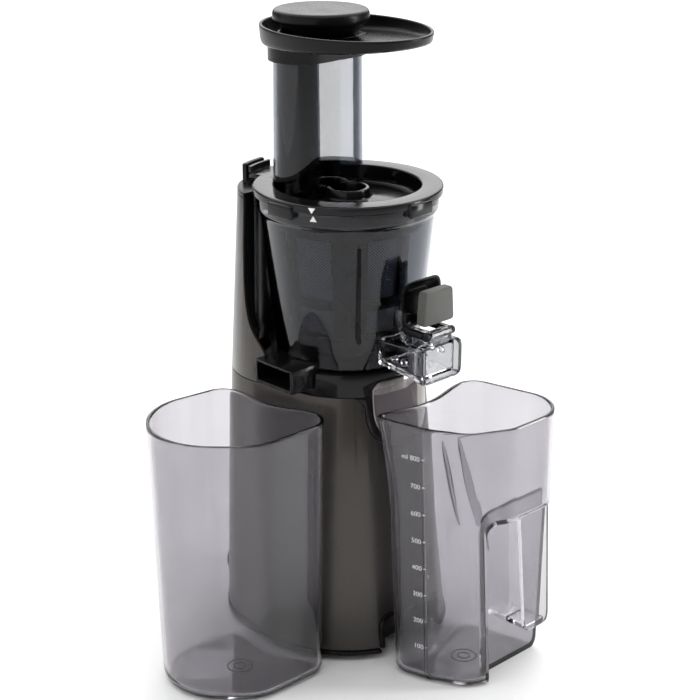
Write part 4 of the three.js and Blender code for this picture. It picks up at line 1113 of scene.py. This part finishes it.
def wall_spot(shape, z, angle, along, off):
    """A point on a container's outside, some way along its outline from an angle in degrees."""
    row = (shape["centre"], round(z, 1), off)
    if row not in ROWS:
        ROWS[row] = vessel_ring(shape, z, -off, 720)
    ring = ROWS[row]
    step = int(round(angle * 2)) % 720
    left = abs(along)
    way = 1 if along > 0 else -1
    while True:
        here, ahead = Vector(ring[step]), Vector(ring[(step + way) % 720])
        gap = (ahead - here).length
        if gap >= left:
            spot = here.lerp(ahead, left / gap)
            return (spot.x, spot.y, z)
        left -= gap
        step = (step + way) % 720


def letters(text, size):
    """Flat glyphs as a mesh; one unit is one millimetre."""
    curve = bpy.data.curves.new(text, "FONT")
    curve.body = text
    curve.size = size
    curve.offset = -0.012 * size
    curve.extrude = 0.03
    curve.resolution_u = 4
    obj = bpy.data.objects.new(text, curve)
    bpy.context.scene.collection.objects.link(obj)
    mesh = bpy.data.meshes.new_from_object(obj.evaluated_get(bpy.context.evaluated_depsgraph_get()))
    bpy.data.objects.remove(obj)
    return mesh


def scale_height(volume):
    return mix(25, 155, (volume - 100) / 700)


def make_scale():
    """The jug's scale, printed on its left wall: numbers with a short line beside each."""
    angle = 177.5
    for volume in range(100, 900, 100):
        text = ("ml " if volume == 800 else "") + str(volume)
        mesh = letters(text, 4.7)
        wide = max(v.co.x for v in mesh.vertices)
        high = scale_height(volume)
        for v in mesh.vertices:
            off = 0.05 if v.co.z < 0 else 0.11
            spot = wall_spot(JUG, high + v.co.y - 1.7, angle, v.co.x - wide, off)
            v.co = at(*spot)
        obj = bpy.data.objects.new(f"mark {volume}", mesh)
        bpy.context.scene.collection.objects.link(obj)
        outward(obj)
        dress(obj, "jug", print_white)
        rings = []
        for off in (0.05, 0.11):
            corners = ((1.6, -0.25), (4.6, -0.25), (4.6, 0.25), (1.6, 0.25))
            rings.append([wall_spot(JUG, high + dz, angle, d, off) for d, dz in corners])
        dress(loft(f"tick {volume}", rings), "jug", print_white)


def decal(name, outline, angle, z, r, body):
    """A thin printed shape on a round wall; outline is in millimetres about its centre."""
    rings = []
    for far in (r + 0.05, r + 0.12):
        spots = [(angle + a / r, b) for a, b in outline]
        rings.append([(far * math.cos(turn), far * math.sin(turn), z + b) for turn, b in spots])
    dress(loft(name, rings), body, print_white)


def make_folds():
    """Two leaf-shaped folds on the jug's wall that faces the machine."""
    rows, across = 28, 8
    folds = (("left fold", (-4, 145), (-26, 77)), ("right fold", (-26, 139), (-50, 57)))
    for name, top, low in folds:
        points = []
        for depth in (-0.4, 1.1):
            for i in range(rows + 1):
                t = i / rows
                half = 0.25 + 3.4 * math.sin(math.pi * t ** 0.8) ** 0.8
                for j in range(across + 1):
                    b = j / across * 2 - 1
                    swell = (1 - b * b) * math.sin(math.pi * t)
                    rise = depth if depth < 0 else depth * swell + 0.02
                    x, y, z = wall_spot(JUG, mix(top[1], low[1], t), 90,
                                        mix(top[0], low[0], t) + b * half, 0.0)
                    points.append((x, y + rise, z))
        wide = across + 1
        count = (rows + 1) * wide
        faces = []
        for i in range(rows):
            for j in range(across):
                a = i * wide + j
                faces += [(a, a + 1, a + wide + 1, a + wide),
                          (count + a, count + a + wide, count + a + wide + 1, count + a + 1)]
        rim = list(range(wide)) + [i * wide + across for i in range(1, rows + 1)]
        rim += [rows * wide + j for j in range(across - 1, -1, -1)]
        rim += [i * wide for i in range(rows - 1, 0, -1)]
        for a, b in zip(rim, rim[1:] + rim[:1]):
            faces.append((a, b, count + b, count + a))
        dress(raw(name, points, faces), "jug", tinted)


def make_lock_marks():
    side = math.radians(204.5)
    decal("lid arrow", [(-2.3, 1.6), (2.3, 1.6), (0, -1.9)], side, 303.6, LID_R, "lid_set")
    decal("bowl arrow", [(-2.3, -1.6), (0, 1.9), (2.3, -1.6)], side, 297.6, 58, "bowl")


# ---- pieces inside, which keep their own shape ----
INSIDE = {
    steel: (*(f"base_screw_{i}" for i in range(1, 5)), "motor_stator", "motor_rotor",
            "motor_shaft", "motor_bracket_lower", "motor_bracket_upper", "motor_pinion",
            "stage_pinion", "layshaft", "drive_shaft", "shaft_bearing", "auger_socket",
            "lid_magnet"),
    copper: ("winding_lower", "winding_upper"),
    nylon: ("motor_fan", "gearbox_housing", "gearbox_cover", "stage_gear", "output_gear",
            "idler_gear"),
    satin: ("interlock_sensor",),
    silicone: ("bowl_seal", "lid_gasket"),
    rubber: ("shaft_seal",),
    board: ("control_board",),
}


def dress_inside():
    for look, names in INSIDE.items():
        for name in names:
            obj = frame["nodes"][name]
            for polygon in obj.data.polygons:
                polygon.material_index = 0
            for slot in obj.material_slots:
                slot.material = look()
            step = obj.modifiers.new("edge", "BEVEL")
            step.width = 0.15 * MM
            step.segments = 2
            step.limit_method = "ANGLE"
            step.angle_limit = math.radians(40)


# ---- studio ----
def lamp(name, size, power, where, toward):
    data = bpy.data.lights.new(name, "AREA")
    data.shape = "RECTANGLE"
    data.size, data.size_y = size
    data.energy = power
    obj = bpy.data.objects.new(name, data)
    bpy.context.scene.collection.objects.link(obj)
    obj.location = at(*where)
    obj.rotation_euler = (at(*toward) - obj.location).to_track_quat("-Z", "Y").to_euler()
    obj.visible_camera = False
    obj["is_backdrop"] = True


def make_studio():
    mesh = bpy.data.meshes.new("floor")
    corners = rectangle((-9000, 9000), (-9000, 9000), 0)
    mesh.from_pydata([at(x, y, -0.4) for x, y in corners], [], [(0, 1, 2, 3)])
    floor = bpy.data.objects.new("floor", mesh)
    bpy.context.scene.collection.objects.link(floor)
    floor.data.materials.append(pale())
    floor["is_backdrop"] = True
    world = bpy.data.worlds.new("studio")
    bpy.context.scene.world = world
    world.use_nodes = True
    world.node_tree.nodes["Background"].inputs["Color"].default_value = (1, 1, 1, 1)
    world.node_tree.nodes["Background"].inputs["Strength"].default_value = 0.22
    lamp("left wall", (3.0, 1.3), 10, (-1275, 255, 560), (0, 0, 230))
    lamp("right strip", (0.22, 1.2), 9, (838, -880, 460), (0, 0, 230))
    lamp("back wall", (3.2, 1.3), 24, (2000, 2000, 1350), (0, 0, 300))
    lamp("back ceiling", (5.0, 5.0), 150, (900, 900, 2300), (900, 900, 0))


def make_camera():
    data = bpy.data.cameras.new("camera")
    data.sensor_width = 36
    data.lens = 88.7
    data.shift_x = 0.003
    camera = bpy.data.objects.new("camera", data)
    bpy.context.scene.collection.objects.link(camera)
    camera.location = at(-739.6, -757.9, 586.1)
    turn, down = math.radians(-44.3), math.radians(20.35)
    level = math.cos(down)
    forward = Vector((-math.sin(turn) * level, math.cos(turn) * level, -math.sin(down)))
    camera.rotation_euler = forward.to_track_quat("-Z", "Y").to_euler()
    bpy.context.scene.camera = camera
    bpy.context.scene.view_settings.view_transform = "Standard"
    camera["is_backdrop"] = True


for make in (make_base, make_arch_trim, make_lower_shell, make_column_cover, make_inner_housing,
             make_column_cap, make_front, make_switch, make_bowl, make_chute, make_cap,
             make_strainer, make_brush, make_auger, make_lid, make_feed_tube, make_tray,
             make_pusher, make_pulp_container, make_jug, make_folds, make_scale, make_lock_marks,
             dress_inside, make_studio, make_camera):
    make()

sizes = [[list(p) for p in bounds] for bounds in (CAD_BOUNDS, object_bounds())]
